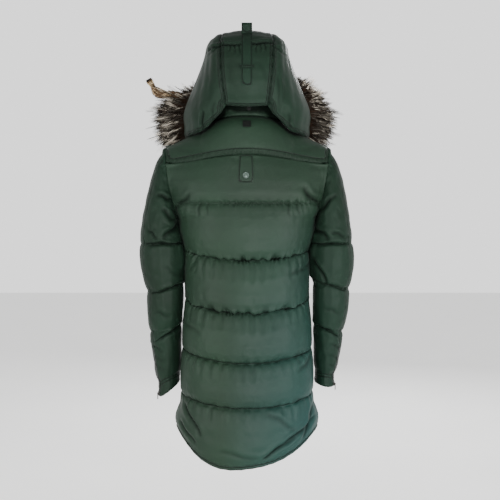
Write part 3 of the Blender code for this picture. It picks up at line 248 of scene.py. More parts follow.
# ------------------------------------------------------------------ finishes
@dataclass(frozen=True)
class SatinNylon:
    """Tightly woven nylon with a satin face: the fine yarns give a soft sheen and hide the weave."""

    name: str
    colour: str
    shaded: str
    # The painted cool light low on the right.
    painted_cool_light: str
    roughness: float = 0.50
    thread_colour: str = "18231b"
    # The colour that painted shade darkens the cloth to, in grooves, creases, stitch rows and gaps.
    groove: str = "070a08"
    thread: float = 0.0011
    wrinkle: float = 0.35
    gloss: float = 0.11
    shadow: float = 0.94
    stitch: float = 0.0042
    stitch_width: float = 0.0005
    # The width of the painted shade along the stitch rows.
    sunk_width: float = 0.0015
    pulled_width: float = 0.0016
    sheen: float = 0.12

    def make(self) -> Material:
        """Builds the material. The weave is drawn at 1.1 mm, not at its real 0.2 mm, so that it shows."""
        material, tree, shader = new_material(self.name)
        place = place_in(tree)
        # Painted shade: the stored share darkens the colour towards the groove colour.
        dark = maths(tree, "MULTIPLY", attribute(tree, "painted_shade"), self.shadow, clamp=True)
        # Painted shade along the sunk stitch rows.
        painted_row_shade = maths(tree, "MULTIPLY", self.rows(tree, self.sunk_width), 1.6, clamp=True)
        shade = tinted(tree, tinted(tree, self.dyed_with_painted_cool_light(tree, place), self.groove, dark), self.groove, painted_row_shade)
        # The base colour: the cloth with its painted shade, and the stitches' thread over it.
        painted_shade = tinted(tree, shade, self.thread_colour, self.stitches(tree))
        tree.links.new(painted_shade, shader.inputs["Base Color"])
        yarns = [add_node(tree, "ShaderNodeTexWave", {"bands_direction": axis, "wave_profile": "SIN"},
                          {"Scale": 1 / (self.thread * 20), "Distortion": 0.4}, {"Vector": place})
                 for axis in ("X", "Z")]
        fine = bumped(tree, maths(tree, "MULTIPLY", *(yarn.outputs["Fac"] for yarn in yarns)), 0.05, 0.0004)
        crumple = grain(tree, place, Scale=34.0, Detail=5.0, Roughness=0.55)
        creased = bumped(tree, crumple, self.wrinkle, 0.0035, fine)
        pulled = bumped(tree, self.rows(tree, self.pulled_width), 0.8, 0.0012, creased, invert=True)
        tree.links.new(pulled, shader.inputs["Normal"])
        shader.inputs["Roughness"].default_value = self.roughness
        shader.inputs["Sheen Weight"].default_value = self.sheen * self.gloss
        shader.inputs["Sheen Roughness"].default_value = 0.45
        # The gloss drops where the painted shade lies.
        shine = maths(tree, "MULTIPLY_ADD", dark, -self.gloss, self.gloss)
        tree.links.new(shine, shader.inputs["Specular IOR Level"])
        return material

    def dyed_with_painted_cool_light(self, tree: NodeTree, place: Socket) -> Socket:
        """The cloth's own uneven colour, with a painted cool light low on the right that stands in for a cool
        reflection from that side.
        """
        clouds = grain(tree, place, Scale=5.0, Detail=3.0)
        tone = ramp(tree, clouds, ((0.34, self.shaded), (0.62, self.colour)))
        split = add_node(tree, "ShaderNodeSeparateXYZ", links={"Vector": place})
        # Painted cool light: strongest low on the right.
        right = maths(tree, "MULTIPLY_ADD", split.outputs["X"], 3.6, 0.22, clamp=True)
        lower = maths(tree, "MULTIPLY_ADD", split.outputs["Z"], -1.5, -0.30, clamp=True)
        return tinted(tree, tone, self.painted_cool_light, maths(tree, "MULTIPLY", right, lower))

    def rows(self, tree: NodeTree, half_width: float) -> Socket:
        """1 on the rows of stitches, fading to 0 at half_width from them."""
        off = [maths(tree, "ABSOLUTE", attribute(tree, name)) for name in ("row_a", "row_b")]
        return maths(tree, "MAXIMUM", *(maths(tree, "MULTIPLY_ADD", gap, -1 / half_width, 1.0, clamp=True)
                                        for gap in off))

    def stitches(self, tree: NodeTree) -> Socket:
        """1 on each stitch of the rows, with the needle's holes between them."""
        turn = maths(tree, "MULTIPLY", attribute(tree, "run"), 2 * math.pi / self.stitch)
        dash = maths(tree, "MULTIPLY_ADD", maths(tree, "SINE", turn), 3.0, 1.6, clamp=True)
        return maths(tree, "MULTIPLY", dash, self.rows(tree, self.stitch_width))


@dataclass(frozen=True)
class WovenTape:
    """Polyester zip tape: a matt herringbone weave that swallows light."""

    name: str = "woven_zip_tape"
    colour: str = "161a18"
    light: str = "232826"

    def make(self) -> Material:
        """Builds the material, with its ribs drawn 1 mm apart."""
        material, tree, shader = new_material(self.name)
        ribs = add_node(tree, "ShaderNodeTexWave", {"bands_direction": "DIAGONAL"},
                        {"Scale": 48.0, "Distortion": 0.5}, {"Vector": place_in(tree)}).outputs["Fac"]
        tree.links.new(ramp(tree, ribs, ((0.2, self.colour), (0.9, self.light))), shader.inputs["Base Color"])
        tree.links.new(bumped(tree, ribs, 0.3, 0.0004), shader.inputs["Normal"])
        shader.inputs["Roughness"].default_value = 0.82
        return material


@dataclass(frozen=True)
class PlatedZinc:
    """Die-cast zinc with a gunmetal plating: smooth, dark and worn a little brighter in patches."""

    name: str
    colour: str
    worn: str
    roughness: float
    metallic: float = 0.85
    gloss: float = 0.5

    def make(self) -> Material:
        """Builds the material."""
        material, tree, shader = new_material(self.name)
        patches = grain(tree, place_in(tree), Scale=420.0, Detail=4.0)
        tone = ramp(tree, patches, ((0.45, self.colour), (0.75, self.worn)))
        tree.links.new(tone, shader.inputs["Base Color"])
        tree.links.new(bumped(tree, patches, 0.12, 0.0002), shader.inputs["Normal"])
        shader.inputs["Roughness"].default_value = self.roughness
        shader.inputs["Metallic"].default_value = self.metallic
        shader.inputs["Specular IOR Level"].default_value = self.gloss
        return material


@dataclass(frozen=True)
class FoxHair:
    """Silver fox guard hair: brown at the root, a white band somewhere along it and a black tip.

    The bands make the bright streaks of the fur, and hairs without one make the dark streaks between them.
    """

    name: str = "silver_fox_hair"
    root: str = "2e2118"
    dark: str = "120e0a"
    band: str = "eee4d2"
    smoke: str = "4a3c30"

    def make(self) -> Material:
        """Builds the material from each hair's own place along its length and its tone."""
        material, tree, shader = new_material(self.name)
        along = attribute(tree, "along")
        silver = ramp(tree, along, ((0.44, self.root), (0.54, self.band), (0.76, self.band),
                                    (0.88, self.smoke), (1.0, self.dark)))
        plain = ramp(tree, along, ((0.15, self.root), (0.55, self.dark), (1.0, self.dark)))
        mixed = add_node(tree, "ShaderNodeMix", {"data_type": "RGBA"},
                         links={"Factor": attribute(tree, "pale"), "A": plain, "B": silver})
        tree.links.new(mixed.outputs["Result"], shader.inputs["Base Color"])
        shader.inputs["Roughness"].default_value = 0.5
        shader.inputs["Specular IOR Level"].default_value = 0.08
        return material


class Finishes:
    """Every material of the coat, made once."""

    def __init__(self) -> None:
        """Makes the materials."""
        # Each nylon's fourth colour is its painted cool light.
        self.shell = SatinNylon("satin_nylon_shell", "17271c", "152219", "133231").make()
        # A darker copy of the shell's nylon for the sleeves and hood: the darker colour is painted shade, the
        # lower gloss stands for their turned grain.
        self.painted_turned_shade = SatinNylon("satin_nylon_turned_painted_shade", "122118", "101c14", "10211a", gloss=0.07).make()
        self.webbing = SatinNylon("satin_nylon_strap", "13231a", "101d15", "15281d", 0.55, gloss=0.06).make()
        self.tape = WovenTape().make()
        self.metal = PlatedZinc("gunmetal_zinc", "2a2a28", "55534e", 0.38).make()
        self.snap = PlatedZinc("green_snap_cap", "2c3a33", "414d47", 0.34, 0.45).make()
        # Blackened plate: the badge's own finish, and painted shade on the collar snap.
        self.plate = PlatedZinc("blackened_plate_and_painted_shade", "070908", "10120f", 0.55, 0.1, 0.12).make()
        self.hair = FoxHair().make()
        self.tail = FoxHair("tan_tail_hair", "4e3b29", "120d0a", "d3bd98", "8d7352").make()


# ------------------------------------------------------------------ mesh helpers
def new_thing(name: str, mesh: Mesh, material: Material) -> Thing:
    """Links a mesh as a piece that rides on the coat.

    Args:
        name: The piece's name.
        mesh: Its mesh, in place.
        material: Its finish.

    Returns:
        The new object.
    """
    thing = show(bpy.data.objects.new(name, mesh))
    mesh.materials.clear()
    mesh.materials.append(material)
    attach(thing, "coat")
    return thing


def node_copy(node: str) -> BMesh:
    """A merged copy of a solid's mesh."""
    bm = bmesh.new()
    bm.from_mesh(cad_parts[node].data)
    bmesh.ops.remove_doubles(bm, verts=bm.verts, dist=1e-5)
    bm.normal_update()
    return bm


def mesh_of(bm: BMesh, name: str) -> Mesh:
    """Turns an edited mesh into a new mesh, and frees it."""
    mesh = bpy.data.meshes.new(name)
    bm.to_mesh(mesh)
    bm.free()
    return mesh


def show(thing: Thing) -> Thing:
    """Links an object to the scene."""
    bpy.context.scene.collection.objects.link(thing)
    return thing


def unit(vectors: np.ndarray) -> np.ndarray:
    """The vectors of the last axis at a length of 1."""
    return vectors / np.maximum(np.linalg.norm(vectors, axis=-1), 1e-9)[..., None]


def stored(mesh: Mesh, name: str) -> np.ndarray:
    """Reads one number a point from under a name."""
    values = np.empty(len(mesh.vertices), dtype=np.float32)
    mesh.attributes[name].data.foreach_get("value", values)
    return values


def report_cloth(thing: Thing) -> None:
    """Logs a piece's faces, and the area of one of its two layers."""
    faces = thing.data.polygons
    log.info("%s: %d faces, %.4f m2 of cloth", thing.name, len(faces), sum(f.area for f in faces) / 2)


def coordinates(mesh: Mesh) -> np.ndarray:
    """The mesh's points as an array of rows."""
    flat = np.empty(3 * len(mesh.vertices), dtype=np.float32)
    mesh.vertices.foreach_get("co", flat)
    return flat.reshape(-1, 3).astype(float)


def set_coordinates(mesh: Mesh, points: np.ndarray) -> None:
    """Writes an array of rows into the mesh's points."""
    mesh.vertices.foreach_set("co", points.astype(np.float32).ravel())
    mesh.update()


def vertex_normals(mesh: Mesh) -> np.ndarray:
    """The mesh's point normals as an array of rows."""
    flat = np.empty(3 * len(mesh.vertices), dtype=np.float32)
    mesh.vertex_normals.foreach_get("vector", flat)
    return flat.reshape(-1, 3).astype(float)


def set_attribute(mesh: Mesh, name: str, values: np.ndarray) -> None:
    """Stores one number a point under a name."""
    layer = mesh.attributes.new(name, "FLOAT", "POINT")
    layer.data.foreach_set("value", values.astype(np.float32))


def noise_along(values: np.ndarray, scale: float, seed: float) -> np.ndarray:
    """Smooth noise from -1 to 1 along a line.

    Args:
        values: Places along the line, in metres.
        scale: Waves in a metre.
        seed: Which noise it is.

    Returns:
        One number a place.
    """
    return np.array([noise.noise(Vector((v * scale, seed, 0.37 * seed))) for v in values])


def steps(values: np.ndarray) -> np.ndarray:
    """0 below 0, 1 above 1, and an S-shaped rise between."""
    t = np.clip(values, 0.0, 1.0)
    return t * t * (3 - 2 * t)


def bell(values: np.ndarray, width: float | np.ndarray) -> np.ndarray:
    """1 at 0, falling smoothly to 0.37 at the width."""
    return np.exp(-(values / width) ** 2)


def columns_at(at: np.ndarray, places: np.ndarray, table: np.ndarray) -> np.ndarray:
    """Reads every column of a table between its rows.

    Args:
        at: Where it is read.
        places: Where its rows are.
        table: The rows.

    Returns:
        One row a place.
    """
    return np.stack([np.interp(at, places, column) for column in table.T], axis=1)


def evened(table: np.ndarray, width: int) -> np.ndarray:
    """A running average of every column of a table, over a window of rows."""
    kernel = np.hanning(width)
    kernel /= kernel.sum()
    return np.stack([np.convolve(column, kernel, mode="valid") for column in table.T], axis=1)


@dataclass(frozen=True)
class Crease:
    """A given fold: a sharp groove from start to end, in X and Z, with a fuller lip above it."""

    start: Spot
    end: Spot
    depth: float
    width: float
    face: Face = Face.BACK
    ridge: float = 0.7

    def press(self, points: np.ndarray, normals: np.ndarray) -> tuple[np.ndarray, np.ndarray]:
        """How far the fold moves each point along its normal, and the painted shadow in its groove.

        Args:
            points: The cloth's points.
            normals: Their normals.

        Returns:
            One signed distance and one shadow, from 0 to 1, a point.
        """
        start = np.array(self.start)
        run = np.array(self.end) - start
        length = float(np.hypot(*run))
        run = run / length
        upward = np.array([-run[1], run[0]])
        if upward[1] < 0:
            upward = -upward
        offset = points[:, (0, 2)] - start
        along = offset @ run
        bend = 0.35 * self.width * np.sin(along / length * 6.0 + 40.0 * start[0])
        beside = offset @ upward + bend
        past = np.maximum(np.maximum(-along, along - length), 0.0) / (1.6 * self.width)
        fade = np.exp(-past ** 2) * np.clip(normals[:, 1] * self.face.value * 3.0, 0.0, 1.0)
        taper = 0.5 + 0.5 * np.cos((along / length - 0.4) * 2.2)
        groove = -np.exp(-(np.abs(beside) / self.width) ** 1.3)
        lip = self.ridge * bell(beside - 1.5 * self.width, 0.9 * self.width)
        apron = 0.35 * self.ridge * bell(beside + 1.8 * self.width, self.width)
        shadow = np.clip(-1.35 * groove - 0.35, 0.0, 1.0) * fade * taper * min(self.depth / 0.0045, 1.0)
        return self.depth * (groove + lip + apron) * fade * taper, shadow


def folds(*rows: tuple[float, ...], face: Face = Face.BACK) -> tuple[Crease, ...]:
    """Makes creases from rows of start X and Z, end X and Z, depth and width."""
    return tuple(Crease((x0, z0), (x1, z1), depth, width, face) for x0, z0, x1, z1, depth, width in rows)


@dataclass(frozen=True)
class QuiltLine:
    """A sewn line round the body, where the puff above sags over the gathered cloth below."""

    side: float
    back: float
    front: float
    pucker: float
    sag: float
    jag: float
    seed: float
    half_width: float = 0.178
    radius: float = 0.150
    middle_x: float = 0.0
    middle_y: float = 0.0
    tilt: float = 0.0
    shade: float = 0.9
    reach: float = 0.0090
    pleat: float = 0.0125
    farthest: float = 0.05

    def place(self, points: np.ndarray) -> tuple[np.ndarray, np.ndarray]:
        """Each point's height above the line, and how far round the body it is."""
        beside = points[:, 0] - self.middle_x
        behind = points[:, 1] < self.middle_y
        middle = np.where(behind, self.back, self.front)
        share = np.clip(np.abs(beside) / self.half_width, 0, 1) ** 2
        above = points[:, 2] - (middle + (self.side - middle) * share + self.tilt * beside)
        around = np.arctan2(beside, np.abs(points[:, 1] - self.middle_y)) * self.radius
        return above, around + np.where(behind, 0.0, 3.0)

    def gather(self, points: np.ndarray, normals: np.ndarray,
               raised: np.ndarray) -> tuple[np.ndarray, np.ndarray]:
        """How the line's gathers move each point, and the painted shadow they lay on it.

        The puff above hangs over the line in uneven scallops. Short pleats fan out below in clusters, and a
        few dimples run up into the puff.

        Args:
            points: The cloth's points.
            normals: Their normals.
            raised: How far each point stands off the plain inside.

        Returns:
            One step and one shadow, from 0 to 1, a point.
        """
        above, around = self.place(points)
        near = np.abs(above) < self.farthest
        step, shadow = np.zeros_like(points), np.zeros(len(points))
        if not near.any():
            return step, shadow
        above, around = above[near], around[near]

        def wavy(scale: float, shift: float = 0.0) -> np.ndarray:
            """Noise along the line."""
            return noise_along(around, scale, self.seed + shift)

        patch = np.clip(0.35 + 2.0 * wavy(15.0), 0.0, 1.35)
        shifted = around + 1.2 * above * wavy(17.0, 2)
        phase = shifted * 2 * math.pi / self.pleat + 4.0 * noise_along(shifted, 40.0, self.seed + 3)
        pleats = (1 - np.abs(np.sin(phase / 2))) * 1.7 - 0.6
        reach = self.reach * (0.85 + 0.9 * wavy(45.0, 5))
        out = self.pucker * patch * pleats * np.where(above < 0, bell(above, reach), bell(above, 0.0050))
        over = 0.55 + 1.0 * wavy(50.0, 7) + 0.4 * wavy(110.0)
        lip = bell(above - 0.0055, 0.0050) * np.clip(over, 0.0, 1.3)
        drop = -self.sag * lip + self.jag * wavy(62.0, 9) * bell(above, 0.007)
        peaks = np.clip(2.6 * noise_along(around + 0.5 * above, 36.0, self.seed + 11) - 0.55, 0.0, 1.0)
        dimple = peaks * bell(above - 0.004, 0.0075) * min(self.sag / 0.0034, 1.2)
        inward = bell(above + 0.0010, 0.0022) * 0.0006 + 0.0016 * dimple
        out = out + 0.55 * self.sag * lip - inward
        under = 0.0014 + 0.55 * self.sag * np.clip(0.55 + wavy(44.0, 13), 0.1, 1.2)
        band = np.where(above < 0, bell(above, under), bell(above, 0.0022))
        step[near] = normals[near] * out[:, None]
        step[near, 2] += drop
        shadow[near] = np.clip(self.shade * (band + 0.55 * dimple), 0.0, 1.0)
        loose = steps((raised + 0.0005) / 0.0012)
        return step * loose[:, None], shadow * (raised > OUTSIDE)


@dataclass(frozen=True)
class Topstitch:
    """Rows of stitches at set distances from a sewn edge, between two heights."""

    rows: Spot = (0.0022, 0.0066)
    low: float = -2.0
    high: float = 2.0
    bead: float = 0.0006

    def mark(self, mesh: Mesh, edges: np.ndarray) -> None:
        """Stores each point's distance from both rows, and its place along the sewn edge.

        Args:
            mesh: The piece's mesh.
            edges: The sewn edge's segments, as pairs of points.
        """
        kept = [pair for pair in edges if self.low <= min(pair[0][2], pair[1][2]) and pair[0][2] <= self.high]
        points = coordinates(mesh)
        if not kept:
            for name in ("row_a", "row_b", "run"):
                set_attribute(mesh, name, np.ones(len(points)))
            return
        beads = []
        for first, second in kept:
            count = max(2, int(np.linalg.norm(second - first) / self.bead))
            beads.extend(first + (second - first) * k / count for k in range(count))
        tree = KDTree(len(beads))
        for number, bead in enumerate(beads):
            tree.insert(Vector(bead), number)
        tree.balance()
        found = [tree.find(Vector(p)) for p in points]
        distance = np.array([hit[2] for hit in found])
        spots = np.array([beads[hit[1]] for hit in found])
        set_attribute(mesh, "row_a", distance - self.rows[0])
        set_attribute(mesh, "row_b", distance - self.rows[1])
        # A mix of the three axes, so that it rises along an edge that runs along any of them.
        set_attribute(mesh, "run", spots[:, 0] * 0.83 + spots[:, 2] * 1.07 + spots[:, 1] * 0.59)


NO_STITCHES = Topstitch(low=5.0, high=6.0)


def sharp_edges(bm: BMesh, angle: float) -> list[Edge]:
    """The edges that turn more than an angle, in degrees."""
    turn = math.radians(angle)
    return [e for e in bm.edges if len(e.link_faces) == 2 and e.calc_face_angle() > turn]


def segments(edges: Sequence[Edge]) -> np.ndarray:
    """The edges as pairs of points."""
    return np.array([[v.co[:] for v in e.verts] for e in edges])


@dataclass
class ClothPiece:
    """One cut piece of cloth on the form of its solid, closed by its plain inside.

    The outside is made finer. A padded piece is then filled and gathered by a short cloth simulation that
    holds the sewn lines still. Gathers along the sewn lines and creases come last.

    Attributes:
        cap: The farthest that the filling moves a point.
        lap: How far the edge laps over its seam.
        level: The least distance of the outside from the inside.
        calm: How often the outside is smoothed.
        under: Pieces that hang over this one; the gap under their edges gets painted shadow.
        painted_turned_shade: How much painted shade darkens its turned edge, from 0 to 1.
        keep_flat: Pieces that are sewn on and hold it flat.
    """

    node: str
    flat: Spot
    area: float | None
    held: Hold
    hub: Callable[[Vector], Vector]
    cuts: int = 2
    wall: float = 0.003
    gather: float = 0.0
    pressure: float = 3.0
    cap: float = 0.008
    ripple: float = 0.0005
    lap: float = 0.0004
    level: float = 0.0
    calm: int = 0
    under: tuple[str, ...] = ()
    painted_turned_shade: float = 0.0
    creases: tuple[Crease, ...] = ()
    lines: tuple[QuiltLine, ...] = ()
    stitches: Topstitch = NO_STITCHES
    keep_flat: tuple[str, ...] = ()

    LOOKS: ClassVar[tuple[Spot, ...]] = ((0.0, 0.09), (0.0, 0.16), (0.0, 0.23), (0.2, 0.14), (-0.2, 0.14),
                                         (0.0, 0.30))

    def is_inside(self, vert: Vert) -> bool:
        """Whether a point belongs to the side that faces the middle."""
        return vert.normal.dot(vert.co - self.hub(vert.co)) < 0

    def outside(self) -> BMesh:
        """Copies the solid, marks how far each point stands off the inside, and makes the outside finer."""
        bm = node_copy(self.node)
        mark = bm.verts.layers.float.new("raised")
        inside = {v for v in bm.verts if self.is_inside(v)}
        lining = node_copy(self.node)
        bmesh.ops.delete(lining, geom=[v for v in lining.verts if not self.is_inside(v)], context="VERTS")
        tree = BVHTree.FromBMesh(lining)
        lining.free()
        for v in bm.verts:
            below, _, _, height = tree.find_nearest(v.co)
            v[mark] = INSIDE if v in inside else height - self.wall
            if v not in inside and v[mark] < self.level:
                v.co += (v.co - below).normalized() * (self.level - v[mark])
                v[mark] = self.level
        self.close_seams(bm, inside)
        shell = [f for f in bm.faces if not any(v in inside for v in f.verts)]
        steep = math.radians(60)
        bmesh.ops.join_triangles(bm, faces=shell, angle_face_threshold=steep, angle_shape_threshold=steep)
        self.refine(bm, self.cuts)
        free = [v for v in bm.verts if self.may_settle(v, mark)]
        for _ in range(self.calm):
            bmesh.ops.smooth_vert(bm, verts=free, factor=0.5, use_axis_x=True, use_axis_y=True,
                                  use_axis_z=True)
        return bm

    def may_settle(self, vert: Vert, mark: Any) -> bool:
        """Whether smoothing may move a point: above the level always, and on it away from the rim."""
        on_rim = any(other[mark] < OUTSIDE for e in vert.link_edges for other in e.verts)
        return vert[mark] > self.level + (NEARLY if on_rim else -NEARLY)

    def close_seams(self, bm: BMesh, inside: set[Vert]) -> None:
        """Laps the piece's edge over the narrow gap at each seam."""
        rim = [f for f in bm.faces if 0 < sum(v in inside for v in f.verts) < len(f.verts)]
        pushes: dict[Vert, Vector] = {}
        for f in rim:
            for v in f.verts:
                pushes[v] = pushes.get(v, Vector()) + f.normal
        for v, push in pushes.items():
            if push.length > 0:
                v.co += push.normalized() * self.lap

    @staticmethod
    def refine(bm: BMesh, cuts: int) -> None:
        """Cuts the outside's faces into smaller ones on a smooth curve."""
        mark = bm.verts.layers.float["raised"]
        shell = {f for f in bm.faces if all(v[mark] > OUTSIDE for v in f.verts)}
        edges = [e for e in bm.edges if any(f in shell for f in e.link_faces)]
        bmesh.ops.subdivide_edges(bm, edges=edges, cuts=cuts, use_grid_fill=True, smooth=1.0)

    @staticmethod
    def outline(bm: BMesh) -> np.ndarray:
        """The edges where the outside meets the rim, as pairs of points."""
        mark = bm.verts.layers.float["raised"]
        rim = {f for f in bm.faces if any(v[mark] < OUTSIDE for v in f.verts)}
        return segments([e for e in bm.edges if sum(f in rim for f in e.link_faces) == 1
                         and len(e.link_faces) == 2 and all(v[mark] > OUTSIDE for v in e.verts)])

    def refine_lines(self, bm: BMesh) -> None:
        """Cuts the faces beside the sewn lines once more, for their pleats."""
        if not self.lines:
            return
        mark = bm.verts.layers.float["raised"]
        points = np.array([v.co[:] for v in bm.verts])
        heights = np.array([v[mark] for v in bm.verts])
        close = np.zeros(len(points), dtype=bool)
        for line in self.lines:
            above, _ = line.place(points)
            close |= (above > PLEATED_FROM) & (above < PLEATED_TO) & (heights > OUTSIDE)
        bm.verts.index_update()
        edges = [e for e in bm.edges if all(close[v.index] for v in e.verts)]
        bmesh.ops.subdivide_edges(bm, edges=edges, cuts=1, use_grid_fill=True, smooth=0.0)

    def make(self, material: Material) -> Thing:
        """Builds the piece and puts it in its solid's place.

        Args:
            material: The cloth's finish.

        Returns:
            The finished piece.
        """
        name = f"cloth_{self.node}"
        thing = new_thing(name, mesh_of(self.outside(), name), material)
        mesh = self.fill(thing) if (self.gather > 0) else thing.data
        bm = bmesh.new()
        bm.from_mesh(mesh)
        self.refine(bm, 1)
        self.refine_lines(bm)
        bm.normal_update()
        edges = self.outline(bm)
        bm.to_mesh(mesh)
        bm.free()
        mesh.shade_smooth()
        mesh.set_sharp_from_angle(angle=math.radians(55))
        raised = stored(mesh, "raised")
        self.stitches.mark(mesh, edges)
        self.fold(mesh, raised)
        mesh.attributes.remove(mesh.attributes["raised"])
        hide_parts(self.node)
        report_cloth(thing)
        return thing

    def looseness(self, points: np.ndarray) -> np.ndarray:
        """How free each point is: 0 under a tab, band or zip that is sewn on, 1 away from it."""
        free = np.ones(len(points))
        for name in self.keep_flat:
            tree = BVHTree.FromBMesh(node_copy(name))
            low, high = (np.array(corner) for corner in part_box(name))
            near = np.all((points > low - 0.02) & (points < high + 0.02), axis=1)
            gaps = np.array([tree.find_nearest(Vector(p))[3] for p in points[near]])
            free[near] = np.minimum(free[near], steps((gaps - FLAT_WITHIN) / FREE_BEYOND))
        return free

    def overhung(self, points: np.ndarray) -> np.ndarray:
        """The painted shadow on each point that lies in the narrow gap behind the edge of the pieces over it,
        from 0 to 1.
        """
        deep = np.zeros(len(points))
        for name in self.under:
            tree = BVHTree.FromBMesh(node_copy(name))
            for k, point in enumerate(points):
                if point[1] > 0.0 or point[2] < -0.08:
                    continue
                torn = 1.0 + 5.0 * min(max(point[0], -0.06), 0.06)
                torn += 0.35 * noise.noise(Vector((point[0] * 60.0, 3.0, 0.0)))
                for lean, rise in self.LOOKS:
                    way = Vector((lean, -1.0, rise * torn)).normalized()
                    if tree.ray_cast(Vector(point), way, LOOK_REACH)[0] is not None:
                        deep[k] += LOOK_SHADE
        return np.clip(deep, 0.0, 1.0)

    def fill(self, thing: Thing) -> Mesh:
        """Fills and gathers the piece between its sewn lines, and leaves the result in its mesh.

        Args:
            thing: The piece.

        Returns:
            The gathered mesh.
        """
        before = coordinates(thing.data)
        free = self.looseness(before)
        held = thing.vertex_groups.new(name="sewn_lines")
        smooth = thing.vertex_groups.new(name="smooth")
        for k, height in enumerate(stored(thing.data, "raised")):
            held.add([k], 1.0 if height < SEWN_BELOW or free[k] < 0.2 else 0.0, "REPLACE")
            smooth.add([k], float(1 - math.exp(-max(height, 0.0) / FULL_AT)), "REPLACE")
        cloth = thing.modifiers.new("filling", "CLOTH")
        for name, value in CLOTH_SETTINGS.items():
            setattr(cloth.settings, name, value)
        cloth.settings.uniform_pressure_force = self.pressure
        cloth.settings.shrink_min = -self.gather
        cloth.settings.effector_weights.gravity = 0
        cloth.point_cache.frame_end = SIMULATED_FRAMES + 7
        scene = bpy.context.scene
        for moment in range(1, SIMULATED_FRAMES + 1):
            scene.frame_set(moment)
        graph = bpy.context.evaluated_depsgraph_get()
        mesh = bpy.data.meshes.new_from_object(thing.evaluated_get(graph))
        thing.modifiers.clear()
        thing.vertex_groups.clear()
        thing.data = mesh
        scene.frame_set(1)
        moved = coordinates(mesh) - before
        far = np.linalg.norm(moved, axis=1)
        kept = np.minimum(1.0, self.cap / np.maximum(far, 1e-9)) * free
        set_coordinates(mesh, before + moved * kept[:, None])
        return mesh

    def fold(self, mesh: Mesh, raised: np.ndarray) -> None:
        """Adds the gathers of the sewn lines, the listed creases and a slight unevenness.

        Args:
            mesh: The piece's mesh.
            raised: How far each point stands off the plain inside.
        """
        points = coordinates(mesh)
        normals = vertex_normals(mesh)
        outer = (raised > OUTSIDE).astype(float)
        free = self.looseness(points) * outer
        move = np.zeros_like(points)
        dark, lift = np.zeros(len(points)), np.zeros(len(points))
        for line in self.lines:
            step, shadow = line.gather(points, normals, raised)
            move += step * free[:, None]
            dark = np.maximum(dark, shadow * free)
        for crease in self.creases:
            rise, shadow = crease.press(points, normals)
            lift += rise
            dark = np.maximum(dark, shadow * outer)
        if self.under:
            dark = np.maximum(dark, self.overhung(points) * outer)
        # Painted shade on the band along the turned edge.
        if self.painted_turned_shade > 0:
            edge = np.clip(0.5 - stored(mesh, "row_a") / TURNED_WIDTH, 0.0, 1.0)
            dark = np.maximum(dark, self.painted_turned_shade * edge)
        lift = np.maximum(lift, -np.maximum(raised, 0.0) - DEEPEST) * outer
        places = [Vector(p) for p in points]
        uneven = np.array([noise.noise(p * 26.0) + 0.5 * noise.noise(p * 61.0) for p in places])
        lift += uneven * self.ripple * np.clip(raised / 0.002 + 0.3, 0.0, 1.0) * free
        set_coordinates(mesh, points + move + normals * lift[:, None])
        # The darkness stored here is painted shade: shadows under the quilt lines' lips, in the creases, in
        # the gap under the hood and on the turned edge.
        set_attribute(mesh, "painted_shade", dark)


@dataclass
class FoldedBand:
    """A narrow band, strap, tab or tape: its whole solid with its edges rolled."""

    node: str
    flat: Spot
    edge: float = 0.0005
    held: Hold = Hold.FOLDED
    slot: str = "green_shell"
    stitches: Topstitch = Topstitch(rows=(0.0024, 1.0))
    turn: float = 50.0

    def make(self, material: Material) -> Thing:
        """Builds the band from a copy of its solid.

        Args:
            material: The band's finish.

        Returns:
            The finished piece.
        """
        bm = node_copy(self.node)
        steep = math.radians(40)
        bmesh.ops.join_triangles(bm, faces=bm.faces, angle_face_threshold=steep, angle_shape_threshold=steep)
        sharp = sharp_edges(bm, self.turn)
        edges = segments(sharp)
        bmesh.ops.bevel(bm, geom=sharp, offset=self.edge, affect="EDGES", segments=2, profile=0.5,
                        material=-1, clamp_overlap=True)
        long_edges = [e for e in bm.edges if e.calc_length() > 4 * self.edge]
        bmesh.ops.subdivide_edges(bm, edges=long_edges, cuts=1, use_grid_fill=True)
        name = f"band_{self.node}"
        mesh = mesh_of(bm, name)
        mesh.shade_smooth()
        mesh.set_sharp_from_angle(angle=math.radians(self.turn))
        self.stitches.mark(mesh, edges)
        # Bands get no painted shade.
        set_attribute(mesh, "painted_shade", np.zeros(len(mesh.vertices)))
        thing = new_thing(name, mesh, material)
        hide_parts(self.node)
        report_cloth(thing)
        return thing


def body_hub(point: Vector) -> Vector:
    """The middle of the body at a point's height."""
    return Vector((0.0, 0.005, min(point.z, -0.16)))


def collar_hub(point: Vector) -> Vector:
    """The middle of the neck at a point's height."""
    return Vector((0.0, 0.010, point.z))


def hood_hub(point: Vector) -> Vector:
    """The middle of the hood."""
    return Vector((0.0, 0.03, 0.08))


def sleeve_hub(point: Vector) -> Vector:
    """The middle of a sleeve at a point's height."""
    side = math.copysign(1.0, point.x)
    drop = min(max((-0.10 - point.z) / 0.6, 0.0), 1.0)
    return Vector((side * (0.212 + 0.012 * math.sin(math.pi * drop)), 0.045 * drop ** 2, point.z))


